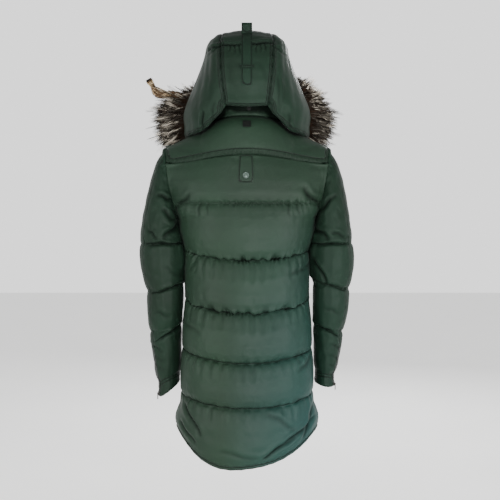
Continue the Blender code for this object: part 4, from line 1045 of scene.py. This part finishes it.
# ------------------------------------------------------------------ the quilted coat
@dataclass
class QuiltedBody:
    """The back and the two fronts, quilted into puffs by level lines, and the plain yoke and collar above."""

    gather: float = 0.006
    back_flat: Spot = (0.52, 0.80)
    back_area: float = 0.37
    front_flat: Spot = (0.30, 0.82)
    front_area: float = 0.185
    yoke_flat: Spot = (0.46, 0.17)
    yoke_area: float = 0.057
    collar_flat: Spot = (0.52, 0.07)
    collar_area: float = 0.034
    lines: tuple[QuiltLine, ...] = (
        QuiltLine(-0.2147, -0.216, -0.217, 0.0015, 0.0008, 0.0008, 1.3, shade=0.30),
        QuiltLine(-0.335, -0.360, -0.344, 0.0024, 0.0050, 0.0038, 4.1, shade=0.95),
        QuiltLine(-0.464, -0.494, -0.474, 0.0026, 0.0048, 0.0038, 8.6, shade=0.95),
        QuiltLine(-0.596, -0.621, -0.604, 0.0007, 0.0022, 0.0012, 12.2, shade=0.85),
        QuiltLine(-0.713, -0.735, -0.718, 0.0007, 0.0024, 0.0014, 17.7, shade=0.85))

    def back_creases(self) -> tuple[Crease, ...]:
        """The folds of the back: slack gathers at the shoulder blades and diagonal pulls at the hem."""
        return folds((0.150, -0.188, 0.188, -0.222, 0.0060, 0.0085),
                     (-0.150, -0.200, -0.181, -0.226, 0.0035, 0.0070),
                     (-0.118, -0.214, -0.124, -0.246, 0.0022, 0.0040),
                     (-0.098, -0.216, -0.101, -0.243, 0.0016, 0.0035),
                     (0.104, -0.216, 0.108, -0.248, 0.0022, 0.0040),
                     (0.126, -0.212, 0.133, -0.244, 0.0020, 0.0042),
                     (-0.160, -0.742, -0.122, -0.802, 0.0062, 0.0056),
                     (-0.172, -0.790, -0.137, -0.826, 0.0048, 0.0050),
                     (0.048, -0.858, 0.118, -0.815, 0.0050, 0.0060),
                     (0.104, -0.822, 0.172, -0.778, 0.0056, 0.0060),
                     (0.150, -0.812, 0.176, -0.742, 0.0040, 0.0060),
                     (-0.060, -0.846, 0.020, -0.862, 0.0018, 0.0060),
                     (0.060, -0.752, 0.118, -0.790, 0.0022, 0.0070),
                     (0.142, -0.640, 0.174, -0.610, 0.0026, 0.0070),
                     (-0.172, -0.520, -0.128, -0.545, 0.0022, 0.0065),
                     (0.120, -0.395, 0.170, -0.372, 0.0024, 0.0065))

    def front_creases(self, side: Side) -> tuple[Crease, ...]:
        """The folds of one front, like those of the back but fewer."""
        s = side.value
        return folds((s * 0.150, -0.190, s * 0.184, -0.224, 0.0045, 0.0085),
                     (s * 0.118, -0.214, s * 0.126, -0.246, 0.0020, 0.0042),
                     (s * 0.160, -0.742, s * 0.104, -0.800, 0.0042, 0.0085),
                     (s * 0.030, -0.600, s * 0.075, -0.650, 0.0022, 0.0070),
                     (s * 0.120, -0.395, s * 0.168, -0.370, 0.0024, 0.0065), face=Face.FRONT)

    def yoke_creases(self) -> tuple[Crease, ...]:
        """Soft hollows across the shoulders."""
        return folds((-0.175, -0.078, -0.110, -0.088, 0.0007, 0.0070),
                     (0.120, -0.086, 0.185, -0.070, 0.0008, 0.0075))

    def collar_creases(self) -> tuple[Crease, ...]:
        """Short upright puckers round the stand collar."""
        return tuple(Crease((x, -0.016), (x + lean, -0.040), depth, 0.0040)
                     for x, lean, depth in ((-0.052, 0.004, 0.0012), (-0.031, -0.003, 0.0009),
                                            (0.034, 0.003, 0.0012), (0.058, -0.004, 0.0010)))

    def build(self, finishes: Finishes) -> None:
        """Builds the body's panels."""
        ClothPiece("back_panel", self.back_flat, self.back_area, Hold.GATHERED, body_hub, gather=self.gather,
                   creases=self.back_creases(), lines=self.lines,
                   keep_flat=("back_tab", "tab_snap")).make(finishes.shell)
        for side in Side:
            ClothPiece(f"front_{side.name.lower()}", self.front_flat, self.front_area, Hold.GATHERED,
                       body_hub, gather=self.gather, creases=self.front_creases(side), lines=self.lines,
                       cuts=1).make(finishes.shell)
        # The yoke gets painted shade on its turned edge, and painted shadow under the hood's side panels.
        ClothPiece("back_yoke", self.yoke_flat, self.yoke_area, Hold.HUNG, body_hub, ripple=0.0004,
                   level=0.0008, calm=10, painted_turned_shade=0.42, creases=self.yoke_creases(),
                   stitches=Topstitch((0.0085, 1.0), -0.2, -0.085), keep_flat=("badge_plate",),
                   under=("hood_left", "hood_right")).make(finishes.shell)
        # The collar gets painted shadow under the hood's lower edge.
        ClothPiece("collar", self.collar_flat, self.collar_area, Hold.FOLDED, collar_hub,
                   creases=self.collar_creases(), keep_flat=("collar_snap",),
                   under=("hood_centre", "hood_left", "hood_right")).make(finishes.shell)
        for name, length in (("hem_back", 0.40), ("hem_front_left", 0.17), ("hem_front_right", 0.17)):
            FoldedBand(name, (length, 0.020), edge=0.0012).make(finishes.shell)


@dataclass
class Sleeves:
    """Both sleeves, puffed in cells like the body, with a saddle band down the outside of each."""

    gather: float = 0.006
    flat: Spot = (0.42, 0.66)
    area: float = 0.205
    cuff_rows: Topstitch = Topstitch((0.0270, 0.0345), -0.90, -0.66)

    def creases(self, side: Side) -> tuple[Crease, ...]:
        """The folds of one sleeve, behind and in front."""
        if side is Side.LEFT:
            behind = folds((-0.226, -0.196, -0.190, -0.208, 0.0048, 0.0055),
                           (-0.212, -0.236, -0.186, -0.262, 0.0040, 0.0055),
                           (-0.206, -0.300, -0.176, -0.266, 0.0060, 0.0070),
                           (-0.250, -0.288, -0.234, -0.304, 0.0052, 0.0042),
                           (-0.244, -0.322, -0.176, -0.318, 0.0046, 0.0048),
                           (-0.226, -0.444, -0.170, -0.424, 0.0038, 0.0044),
                           (-0.222, -0.570, -0.178, -0.538, 0.0048, 0.0048),
                           (-0.246, -0.594, -0.224, -0.606, 0.0024, 0.0045),
                           (-0.246, -0.622, -0.222, -0.632, 0.0020, 0.0042),
                           (-0.244, -0.648, -0.222, -0.655, 0.0018, 0.0040),
                           (-0.206, -0.385, -0.180, -0.402, 0.0020, 0.0055),
                           (-0.232, -0.500, -0.206, -0.512, 0.0022, 0.0055))
            before = folds((-0.236, -0.200, -0.196, -0.216, 0.0034, 0.0070),
                           (-0.250, -0.300, -0.214, -0.314, 0.0034, 0.0065),
                           (-0.240, -0.470, -0.206, -0.458, 0.0026, 0.0060),
                           (-0.236, -0.610, -0.206, -0.622, 0.0022, 0.0050), face=Face.FRONT)
            return behind + before
        behind = folds((0.177, -0.368, 0.206, -0.420, 0.0048, 0.0046),
                       (0.190, -0.232, 0.226, -0.196, 0.0048, 0.0055),
                       (0.176, -0.280, 0.206, -0.306, 0.0060, 0.0070),
                       (0.222, -0.292, 0.254, -0.302, 0.0036, 0.0050),
                       (0.186, -0.320, 0.254, -0.318, 0.0046, 0.0048),
                       (0.196, -0.424, 0.262, -0.438, 0.0038, 0.0044),
                       (0.188, -0.536, 0.236, -0.560, 0.0048, 0.0048),
                       (0.226, -0.588, 0.246, -0.598, 0.0022, 0.0045),
                       (0.222, -0.618, 0.243, -0.626, 0.0020, 0.0042),
                       (0.220, -0.644, 0.240, -0.652, 0.0018, 0.0040),
                       (0.208, -0.490, 0.236, -0.500, 0.0020, 0.0055))
        before = folds((0.198, -0.204, 0.236, -0.196, 0.0034, 0.0070),
                       (0.216, -0.306, 0.252, -0.312, 0.0034, 0.0065),
                       (0.204, -0.452, 0.240, -0.466, 0.0026, 0.0060),
                       (0.206, -0.604, 0.234, -0.614, 0.0022, 0.0050), face=Face.FRONT)
        return behind + before

    def build(self, finishes: Finishes) -> None:
        """Builds both sleeves and their bands."""
        for side in Side:
            name = side.name.lower()
            # The sleeves take the darker nylon, whose darker colour is painted shade.
            ClothPiece(f"sleeve_{name}", self.flat, self.area, Hold.GATHERED, sleeve_hub,
                       gather=self.gather, cap=0.005, pressure=2.5, ripple=0.0003,
                       creases=self.creases(side), lines=self.lines(side), stitches=self.cuff_rows,
                       keep_flat=(f"sleeve_band_{name}", f"cuff_zip_tape_{name}")).make(finishes.painted_turned_shade)
            FoldedBand(f"sleeve_band_{name}", (0.024, 0.48), edge=0.0004).make(finishes.painted_turned_shade)
            FoldedBand(f"cuff_zip_tape_{name}", (0.012, 0.13), edge=0.0003, slot="dark_trim",
                       held=Hold.STRETCHED, stitches=NO_STITCHES).make(finishes.tape)

    def lines(self, side: Side) -> tuple[QuiltLine, ...]:
        """The three sewn lines round one sleeve: elbow, forearm and above the cuff."""
        places = {Side.LEFT: ((-0.212, 0.000, -0.320, 0.0), (-0.200, 0.008, -0.436, 0.29),
                              (-0.203, 0.020, -0.553, 0.67)),
                  Side.RIGHT: ((0.222, 0.000, -0.320, 0.0), (0.218, 0.008, -0.430, -0.36),
                               (0.211, 0.020, -0.549, -0.53))}
        return tuple(QuiltLine(z, z, z, pucker=0.0014, sag=0.0030, jag=0.0018,
                               seed=20.0 + 3.1 * k + side.value, half_width=0.045, radius=0.046,
                               middle_x=x, middle_y=y, tilt=tilt)
                     for k, (x, y, z, tilt) in enumerate(places[side]))


@dataclass
class Hood:
    """The hood: a centre panel and two side panels, a strap down the middle and its keeper."""

    centre_flat: Spot = (0.15, 0.42)
    centre_area: float = 0.054
    side_flat: Spot = (0.28, 0.34)
    side_area: float = 0.073

    def centre_creases(self) -> tuple[Crease, ...]:
        """The fold across the crown and the small gathers that hang from it."""
        gathers = tuple(Crease((x, 0.178), (x + lean, 0.178 - drop), 0.0024, 0.0026)
                        for x, lean, drop in ((-0.041, -0.002, 0.016), (-0.030, 0.001, 0.020),
                                              (-0.019, 0.002, 0.022), (0.024, -0.001, 0.020),
                                              (0.034, 0.002, 0.017), (0.045, 0.003, 0.014)))
        return gathers + folds((-0.066, 0.177, -0.012, 0.179, 0.0042, 0.0040),
                               (0.012, 0.181, 0.062, 0.184, 0.0046, 0.0042),
                               (-0.050, 0.120, -0.030, 0.070, 0.0008, 0.0090),
                               (0.036, 0.130, 0.050, 0.070, 0.0008, 0.0090))

    def side_creases(self, side: Side) -> tuple[Crease, ...]:
        """Soft upright folds of one side panel."""
        s = side.value
        shared = folds((s * 0.096, 0.110, s * 0.086, 0.030, 0.0010, 0.0110),
                       (s * 0.070, 0.172, s * 0.094, 0.160, 0.0022, 0.0046))
        if side is Side.LEFT:
            return shared + folds((-0.100, 0.171, -0.066, 0.177, 0.0042, 0.0040),
                                  (-0.112, 0.010, -0.113, -0.030, 0.0044, 0.0036),
                                  (-0.083, 0.030, -0.088, -0.004, 0.0020, 0.0060))
        return shared + folds((0.078, 0.090, 0.082, 0.020, 0.0018, 0.0050),
                              (0.108, 0.004, 0.112, -0.026, 0.0026, 0.0050))

    def build(self, finishes: Finishes) -> None:
        """Builds the hood, strap and keeper."""
        shared = {"cuts": 3, "level": 0.0045, "calm": 5, "ripple": 0.0006,
                  "stitches": Topstitch((0.0018, 0.0062))}
        # The hood takes the darker nylon, whose darker colour is painted shade.
        ClothPiece("hood_centre", self.centre_flat, self.centre_area, Hold.HUNG, hood_hub,
                   creases=self.centre_creases(), keep_flat=("hood_strap", "strap_keeper"),
                   **shared).make(finishes.painted_turned_shade)
        for side in Side:
            ClothPiece(f"hood_{side.name.lower()}", self.side_flat, self.side_area, Hold.HUNG, hood_hub,
                       creases=self.side_creases(side), **shared).make(finishes.painted_turned_shade)
        for name, flat in (("hood_strap", (0.027, 0.235)), ("strap_keeper", (0.037, 0.014))):
            FoldedBand(name, flat).make(finishes.webbing)


# ------------------------------------------------------------------ fur
@dataclass(frozen=True)
class RuffPoint:
    """A place on the ruff's sewn edge and how far the hair stands out there."""

    x: float
    y: float
    z: float
    length: float


@dataclass(frozen=True)
class Hairs:
    """Grown hairs: their points (hair, bend, xyz), tones, widths, and how far each one's band slides."""

    points: np.ndarray
    tones: np.ndarray
    widths: np.ndarray
    slides: np.ndarray


@dataclass
class Ruff:
    """The silver fox ruff: thousands of hairs in tufts, set on a strip of pelt round the face opening.

    A real pelt has thousands of hairs a square centimetre. Here each ribbon, 1 mm wide, stands for a few
    dozen hairs.
    """

    path: tuple[RuffPoint, ...] = (
        RuffPoint(-0.112, 0.126, -0.070, 0.056), RuffPoint(-0.140, 0.123, -0.048, 0.092),
        RuffPoint(-0.160, 0.124, -0.006, 0.107), RuffPoint(-0.160, 0.128, 0.030, 0.112),
        RuffPoint(-0.146, 0.136, 0.062, 0.122), RuffPoint(-0.110, 0.148, 0.108, 0.022),
        RuffPoint(-0.060, 0.153, 0.156, 0.038), RuffPoint(0.000, 0.154, 0.174, 0.050),
        RuffPoint(0.060, 0.153, 0.160, 0.040), RuffPoint(0.098, 0.150, 0.132, 0.036),
        RuffPoint(0.134, 0.138, 0.090, 0.082), RuffPoint(0.159, 0.128, 0.046, 0.100),
        RuffPoint(0.159, 0.124, 0.002, 0.098), RuffPoint(0.140, 0.123, -0.042, 0.086),
        RuffPoint(0.114, 0.126, -0.068, 0.054))
    centre: Point = (0.0, 0.0, 0.045)
    lean: float = 0.12
    tail: tuple[tuple[float, float, float, float], ...] = (
        (-0.185, 0.126, 0.074, 0.0170), (-0.216, 0.124, 0.086, 0.0150), (-0.242, 0.125, 0.090, 0.0130),
        (-0.257, 0.127, 0.100, 0.0105), (-0.266, 0.128, 0.116, 0.0080), (-0.275, 0.128, 0.132, 0.0080))
    pelt_depth: float = 0.020
    hair_width: float = 0.0011
    bends: int = 5
    tuft_size: int = 9
    seed: int = 23
    top_station: float = 7.0
    silver_left: float = 0.18
    silver_right: float = 0.07
    short_hairs: float = 0.34
    root_depth: float = 0.004
    tail_count: int = 2200

    def frame_at(self, at: np.ndarray) -> tuple[np.ndarray, np.ndarray, np.ndarray, np.ndarray]:
        """The sewn edge at some stations.

        Args:
            at: Stations along the path, from 0 to its last point's number.

        Returns:
            Places, outward directions, directions along the edge, and hair lengths.
        """
        table = np.array([[p.x, p.y, p.z, p.length] for p in self.path])
        fine = np.linspace(0, len(table) - 1, 400)
        rough = columns_at(fine, np.arange(len(table)), table)
        ends = np.repeat(rough[:1], 15, axis=0), np.repeat(rough[-1:], 15, axis=0)
        smooth = evened(np.vstack([ends[0], rough, ends[1]]), 31)
        rows = columns_at(at, fine, smooth)
        along = unit(columns_at(at, fine, np.gradient(smooth[:, :3], axis=0)))
        out = rows[:, :3] - np.array(self.centre)
        out[:, 1] = -self.lean * np.hypot(out[:, 0], out[:, 2])
        return rows[:, :3], unit(out), along, rows[:, 3]

    def hairs(self, first: float, last: float, tufts: int, seed: int) -> Hairs:
        """Grows the hairs of one stretch of the ruff.

        Args:
            first: The first station.
            last: The last station.
            tufts: How many tufts grow there.
            seed: The seed of the stretch.

        Returns:
            The grown hairs.
        """
        rng = np.random.default_rng(seed)
        count = tufts * self.tuft_size
        tuft = np.repeat(np.arange(tufts), self.tuft_size)
        at = rng.uniform(first, last, tufts)
        depth = rng.uniform(-1, 1, tufts)
        fan = rng.normal(0, 0.17, (tufts, 3))
        stretch = rng.uniform(0.78, 1.04, tufts)
        silver = rng.random(tufts) < np.where(at < self.top_station, self.silver_left, self.silver_right)
        tone = np.where(silver, rng.uniform(0.60, 0.95, tufts), rng.uniform(0.0, 0.10, tufts))
        shift = rng.normal(0.0, 0.11, tufts)
        hair_at = np.clip(at[tuft] + rng.normal(0, 0.05, count), 0.02, len(self.path) - 1.02)
        hair_depth = np.clip(depth[tuft] + rng.normal(0, 0.25, count), -1, 1)
        place, out, along, length = self.frame_at(hair_at)
        across = unit(np.cross(along, out))
        under = rng.random(count) < self.short_hairs
        reach = length * stretch[tuft] * rng.uniform(0.80, 1.02, count)
        reach = np.where(under, reach * rng.uniform(0.40, 0.65, count), reach)
        root = place + across * (hair_depth * 0.5 * self.pelt_depth)[:, None] - out * self.root_depth
        spread = across * (0.16 * hair_depth * np.where(hair_depth > 0, 0.5, 1.0))[:, None]
        aim = unit(out + spread + fan[tuft] * np.array([1.0, 0.7, 1.0]) + rng.normal(0, 0.035, (count, 3)))
        curl = rng.normal(0, 0.13, (tufts, 3))[tuft] + rng.normal(0, 0.03, (count, 3))
        curl[:, 2] -= 0.10
        bend = np.linspace(0, 1, self.bends + 1)[None, :, None]
        body = root[:, None, :] + aim[:, None, :] * (bend * reach[:, None, None])
        body = body + curl[:, None, :] * (bend ** 2.2 * reach[:, None, None])
        head = np.array([body[tuft == k, -1].mean(axis=0) for k in range(tufts)])
        gathered = 0.72 * bend ** 1.3 * np.where(under, 0.2, 1.0)[:, None, None]
        body = body * (1 - gathered) + head[tuft][:, None, :] * gathered
        tones = np.where(under, 0.04, np.clip(tone[tuft] + rng.normal(0, 0.08, count), 0, 1))
        widths = self.hair_width * rng.uniform(0.7, 1.15, count)
        cream = self.creaminess(hair_at, hair_depth, rng)
        tones = np.where(under, tones, np.maximum(tones, cream))
        slide = np.where(cream > 0.5, -0.16, shift[tuft])
        return Hairs(body, tones, widths, np.where(under, 0.0, slide + rng.normal(0, 0.05, count)))

    def creaminess(self, at: np.ndarray, depth: np.ndarray, rng: np.random.Generator) -> np.ndarray:
        """1 where the pelt's pale belly hair grows: low on the left and high on the right."""
        low_left = np.clip(1.9 - at, 0, 1)
        high_right = 0.7 * np.clip(1.0 - np.abs(at - 10.1) / 0.6, 0, 1)
        low_right = 0.5 * np.clip(at - 13.1, 0, 1)
        chance = np.maximum(np.maximum(low_left, high_right), low_right)
        return (rng.random(len(at)) < chance * 0.92).astype(float)

    def tail_hairs(self) -> Hairs:
        """Twists the long lock that stands out from the upper left."""
        count = self.tail_count
        rng = np.random.default_rng(self.seed + 9)
        table = np.array(self.tail)
        fine = np.linspace(0, 1, 120)
        rough = columns_at(fine, np.linspace(0, 1, len(table)), table)
        ends = 2 * rough[0] - rough[12:0:-1], 2 * rough[-1] - rough[-2:-14:-1]
        rows = evened(np.vstack([ends[0], rough, ends[1]]), 25)
        run = unit(np.gradient(rows[:, :3], axis=0))
        side = unit(np.cross(run, (0.0, 1.0, 0.0)))
        up = np.cross(side, run)
        starts = rng.uniform(-0.05, 0.72, count)[:, None]
        ends = np.clip(starts + rng.uniform(0.26, 0.42, count)[:, None], 0, 1.0)
        at = np.clip(starts + (ends - starts) * np.linspace(0, 1, self.bends + 1)[None, :], 0, 1)
        strand = np.where(rng.random(count) < 0.5, 0.0, math.pi)[:, None]
        coil = strand + at * 6.5
        around = rng.uniform(0, 2 * math.pi, count)[:, None] + at * 3.0
        girth = np.interp(at, fine, rows[:, 3]) * (1 + rng.normal(0, 0.12, count)[:, None])
        fill = np.sqrt(rng.uniform(0.05, 1.0, count))[:, None]
        across = girth * (0.45 * np.cos(coil) + 0.62 * fill * np.cos(around))
        upward = girth * (0.45 * np.sin(coil) + 0.62 * fill * np.sin(around))
        spot = np.rint(at * (len(fine) - 1)).astype(int)
        body = rows[spot, :3] + side[spot] * across[..., None] + up[spot] * upward[..., None]
        slide = 0.30 * (ends[:, 0] > 0.93) - 0.12 + rng.normal(0, 0.08, count)
        tones = np.clip(np.where(rng.random(count) < 0.36, 0.12, 0.92) + rng.normal(0, 0.08, count), 0, 1)
        return Hairs(body, tones, np.full(count, self.hair_width), slide)

    def ribbons(self, name: str, grown: Hairs, material: Material) -> Thing:
        """Lays a narrow tapering ribbon along each hair.

        Args:
            name: The piece's name.
            grown: The hairs.
            material: The hair's finish.

        Returns:
            The finished piece.
        """
        body, widths = grown.points, grown.widths
        count, rows = body.shape[:2]
        rng = np.random.default_rng(self.seed)
        bm = bmesh.new()
        bmesh.ops.create_grid(bm, x_segments=2 * count - 1, y_segments=rows - 1, size=1.0)
        bm.verts.ensure_lookup_table()
        grid = np.array([v.co[:] for v in bm.verts])
        columns = np.rint((grid[:, 0] + 1) / 2 * (2 * count - 1)).astype(int)
        levels = np.rint((grid[:, 1] + 1) / 2 * (rows - 1)).astype(int)
        gaps = [f for f in bm.faces if int((f.calc_center_median().x + 1) / 2 * (2 * count - 1)) % 2]
        bmesh.ops.delete(bm, geom=gaps, context="FACES_ONLY")
        mesh = mesh_of(bm, name)
        hair = columns // 2
        edge = np.where(columns % 2, 1.0, -1.0)
        facing = rng.normal(0, 1, (count, 3)) + np.array([0.0, -1.2, 0.3])
        wide = unit(np.cross(unit(np.gradient(body, axis=1)), facing[:, None, :]))
        taper = np.interp(np.linspace(0, 1, rows), (0, 0.3, 0.7, 1), (0.8, 1.0, 0.75, 0.10))
        out = edge * 0.5 * widths[hair] * taper[levels]
        set_coordinates(mesh, body[hair, levels] + wide[hair, levels] * out[:, None])
        set_attribute(mesh, "along", levels / (rows - 1) + grown.slides[hair])
        set_attribute(mesh, "pale", grown.tones[hair])
        mesh.shade_smooth()
        thing = new_thing(name, mesh, material)
        log.info("%s: %d hairs", name, count)
        return thing

    def build(self, finishes: Finishes) -> None:
        """Builds the ruff in three stretches and its tail lock."""
        last = len(self.path) - 1.0
        stretches = (("ruff_left", 0.0, 4.6, 1700), ("ruff_top", 4.5, 9.4, 800),
                     ("ruff_right", 9.2, last, 1560))
        pieces = [self.ribbons(name, self.hairs(a, b, tufts, self.seed + k), finishes.hair)
                  for k, (name, a, b, tufts) in enumerate(stretches)]
        self.ribbons("ruff_tail", self.tail_hairs(), finishes.tail)
        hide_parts("fur_trim")


# ------------------------------------------------------------------ studio
@dataclass(frozen=True)
class Lamp:
    """A soft square lamp: where it stands, where it points, its power in watts and its size."""

    name: str
    place: Point
    aim: Point
    power: float
    size: float

    def build(self) -> None:
        """Puts the lamp in the scene."""
        lamp = bpy.data.lights.new(self.name, "AREA")
        lamp.energy = self.power
        lamp.size = self.size
        thing = show(bpy.data.objects.new(self.name, lamp))
        thing.location = self.place
        thing.rotation_euler = (Vector(self.aim) - Vector(self.place)).to_track_quat("-Z", "Y").to_euler()


@dataclass
class Studio:
    """A plain pale floor, soft light and the camera."""

    floor_height: float = -1.30
    floor_size: float = 14.0
    camera_at: Point = (0.008, -2.2, -0.246)
    camera_drop: float = 0.0424
    lens: float = 59.76
    glow: float = 0.25
    sky: float = 1.6
    lamps: tuple[Lamp, ...] = (
        Lamp("key", (-0.5, -2.8, 1.2), (0.0, 0.0, -0.40), 22.0, 0.8),
        Lamp("low", (0.3, -2.8, -1.0), (0.0, 0.0, -0.85), 78.0, 0.8),
        Lamp("right", (2.1, -2.0, -0.7), (0.0, 0.0, -0.68), 66.0, 0.7),
        Lamp("left", (-2.1, -2.1, -0.6), (0.0, 0.0, -0.58), 48.0, 0.7),
        Lamp("front", (0.6, 2.8, 0.9), (0.0, 0.0, -0.3), 70.0, 1.0))

    def build(self) -> None:
        """Builds the studio."""
        self.floor()
        self.lights()
        self.camera()

    def floor(self) -> None:
        """Lays a floor of opal acrylic, lit faintly from below as on a product table."""
        bm = bmesh.new()
        bmesh.ops.create_grid(bm, x_segments=1, y_segments=1, size=self.floor_size / 2)
        bmesh.ops.translate(bm, verts=bm.verts, vec=(0.0, 2.0, self.floor_height))
        mesh = mesh_of(bm, "floor")
        material, tree, shader = new_material("opal_acrylic_floor")
        tone = ramp(tree, grain(tree, place_in(tree), Scale=3.0), ((0.0, "f2f2f1"), (1.0, "fbfbfa")))
        tree.links.new(tone, shader.inputs["Base Color"])
        shader.inputs["Roughness"].default_value = 0.9
        shader.inputs["Emission Color"].default_value = linear("ffffff")
        shader.inputs["Emission Strength"].default_value = self.glow
        mesh.materials.append(material)
        show(bpy.data.objects.new("floor", mesh))

    def lights(self) -> None:
        """Puts pale walls and a darker ceiling all round, and the lamps."""
        world = bpy.data.worlds.new("studio")
        bpy.context.scene.world = world
        world.use_nodes = True
        tree = world.node_tree
        way = add_node(tree, "ShaderNodeTexCoord").outputs["Generated"]
        split = add_node(tree, "ShaderNodeSeparateXYZ", links={"Vector": way})
        tone = ramp(tree, split.outputs["Z"], ((0.30, "ffffff"), (0.80, "b4b4b4")))
        tree.links.new(tone, tree.nodes["Background"].inputs["Color"])
        tree.nodes["Background"].inputs["Strength"].default_value = self.sky
        for lamp in self.lamps:
            lamp.build()

    def camera(self) -> None:
        """Sets the camera behind the coat."""
        lens = bpy.data.cameras.new("camera")
        lens.lens = self.lens
        lens.sensor_width = 36.0
        camera = show(bpy.data.objects.new("camera", lens))
        camera.location = self.camera_at
        camera.rotation_euler = (math.pi / 2 - self.camera_drop, 0.0, 0.0)
        bpy.context.scene.camera = camera


@dataclass(frozen=True)
class SnapCap:
    """A press-stud cap: a shallow dome inside a rolled rim, spun round its middle."""

    node: str
    profile: tuple[Spot, ...] = ((0.0, 0.78), (0.30, 0.74), (0.56, 0.58), (0.66, 0.50), (0.74, 0.62),
                                 (0.84, 0.74), (0.94, 0.66), (1.0, 0.40), (1.0, 0.0))
    turns: int = 40

    def make(self, material: Material) -> Thing:
        """Builds the cap on its solid's face.

        Args:
            material: The cap's finish.

        Returns:
            The finished cap.
        """
        solid = node_copy(self.node)
        middle = sum((v.co for v in solid.verts), Vector()) / len(solid.verts)
        front = [f for f in solid.faces if f.normal.y < -0.7]
        facing = sum((f.normal * f.calc_area() for f in front), Vector()).normalized()
        off = [v.co - middle for v in solid.verts]
        depth = max(step.dot(facing) for step in off) * 2
        radius = max((step - facing * step.dot(facing)).length for step in off)
        solid.free()
        bm = bmesh.new()
        line = [bm.verts.new((radius * r, 0.0, depth * (h - 0.5) * 1.05)) for r, h in self.profile]
        links = [bm.edges.new(pair) for pair in zip(line, line[1:])]
        bmesh.ops.spin(bm, geom=line + links, cent=(0, 0, 0), axis=(0, 0, 1), dvec=(0, 0, 0),
                       angle=2 * math.pi, steps=self.turns, use_merge=True, use_duplicate=False)
        bmesh.ops.remove_doubles(bm, verts=bm.verts, dist=1e-6)
        rim = [e for e in bm.edges if len(e.link_faces) == 1]
        bmesh.ops.holes_fill(bm, edges=rim, sides=0)
        bmesh.ops.recalc_face_normals(bm, faces=bm.faces)
        turn = facing.to_track_quat("Z", "Y").to_matrix().to_4x4()
        bmesh.ops.transform(bm, matrix=Matrix.Translation(middle) @ turn, verts=bm.verts)
        name = f"cap_{self.node}"
        mesh = mesh_of(bm, name)
        mesh.shade_smooth()
        thing = new_thing(name, mesh, material)
        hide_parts(self.node)
        return thing


@dataclass(frozen=True)
class ZipTeeth:
    """The teeth of one zip: two rows of small cast blocks that meet in the middle of its tape."""

    name: str
    tapes: tuple[str, ...]
    facing: Point
    low: float
    high: float
    half: float
    pitch: float
    block: Point
    bevel: float = 0.18

    def make(self, material: Material) -> Thing:
        """Sets the teeth along the tape, alternately left and right.

        Args:
            material: The teeth's finish.

        Returns:
            The finished rows.
        """
        solids = [node_copy(tape) for tape in self.tapes]
        trees = [BVHTree.FromBMesh(solid) for solid in solids]
        points = np.array([v.co[:] for solid in solids for v in solid.verts])
        for solid in solids:
            solid.free()
        facing = Vector(self.facing).normalized()
        across = facing.cross(Vector((0.0, 0.0, 1.0))).normalized()
        line_x, line_y = (np.polyfit(points[:, 2], points[:, axis], 5) for axis in (0, 1))
        bm = bmesh.new()
        count = int((self.high - self.low) / self.pitch)
        for k in range(count):
            height = self.low + self.pitch * (k + 0.5)
            side = 1 if k % 2 else -1
            middle = Vector((np.polyval(line_x, height), np.polyval(line_y, height), height))
            start = middle + across * (side * self.half) + facing * 0.05
            rays = [tree.ray_cast(start, -facing, 0.10) for tree in trees]
            hits = [hit for hit in rays if hit[0] is not None]
            if not hits:
                continue
            spot = min(hits, key=lambda hit: hit[3])[0]
            frame_of_tooth = Matrix((across, Vector((0, 0, 1)), facing)).transposed().to_4x4()
            place = Matrix.Translation(spot + facing * (0.3 * self.block[2])) @ frame_of_tooth
            made = bmesh.ops.create_cube(bm, size=1.0, matrix=place @ Matrix.Diagonal((*self.block, 1.0)))
            edges = list({e for v in made["verts"] for e in v.link_edges})
            bmesh.ops.bevel(bm, geom=edges, offset=self.bevel * min(self.block), affect="EDGES", segments=1,
                            profile=0.5, material=-1)
        log.info("%s: %d teeth", self.name, count)
        return new_thing(self.name, mesh_of(bm, self.name), material)


def dress_hardware(finishes: Finishes) -> None:
    """Gives the hard pieces their finishes and lays the front zip's tapes."""
    for side in Side:
        FoldedBand(f"front_zip_tape_{side.name.lower()}", (0.012, 0.90), edge=0.0003, slot="dark_trim",
                   held=Hold.STRETCHED, stitches=NO_STITCHES).make(finishes.tape)
    SnapCap("tab_snap").make(finishes.snap)
    # The collar snap takes the black plate finish as painted shade: it sits in the hood's shadow.
    SnapCap("collar_snap").make(finishes.plate)
    ZipTeeth("teeth_front", ("front_zip_tape_left", "front_zip_tape_right"), (0.0, 1.0, 0.0), low=-0.800,
             high=0.000, half=0.0014, pitch=0.0028, block=(0.0030, 0.0022, 0.0012)).make(finishes.metal)
    for side, facing, low, high in (("left", (-0.906915, -0.421313, 0.0), -0.718, -0.606),
                                    ("right", (0.929289, -0.369354, 0.0), -0.692, -0.602)):
        ZipTeeth(f"teeth_cuff_{side}", (f"cuff_zip_tape_{side}",), facing, low, high, half=0.0010,
                 pitch=0.0020, block=(0.0024, 0.0016, 0.0010)).make(finishes.metal)
    for node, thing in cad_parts.items():
        if node == "badge_plate" or "slider" in node or "pull" in node:
            for place in thing.material_slots:
                place.material = finishes.plate if node == "badge_plate" else finishes.metal


def main() -> None:
    """Builds the coat in order and reports each piece."""
    logging.basicConfig(level=logging.INFO, format="%(name)s %(message)s")
    finishes = Finishes()
    Studio().build()
    QuiltedBody().build(finishes)
    Sleeves().build(finishes)
    Hood().build(finishes)
    FoldedBand("back_tab", (0.038, 0.075), edge=0.0006).make(finishes.shell)
    Ruff().build(finishes)
    dress_hardware(finishes)


if __name__ == "__main__":
    main()
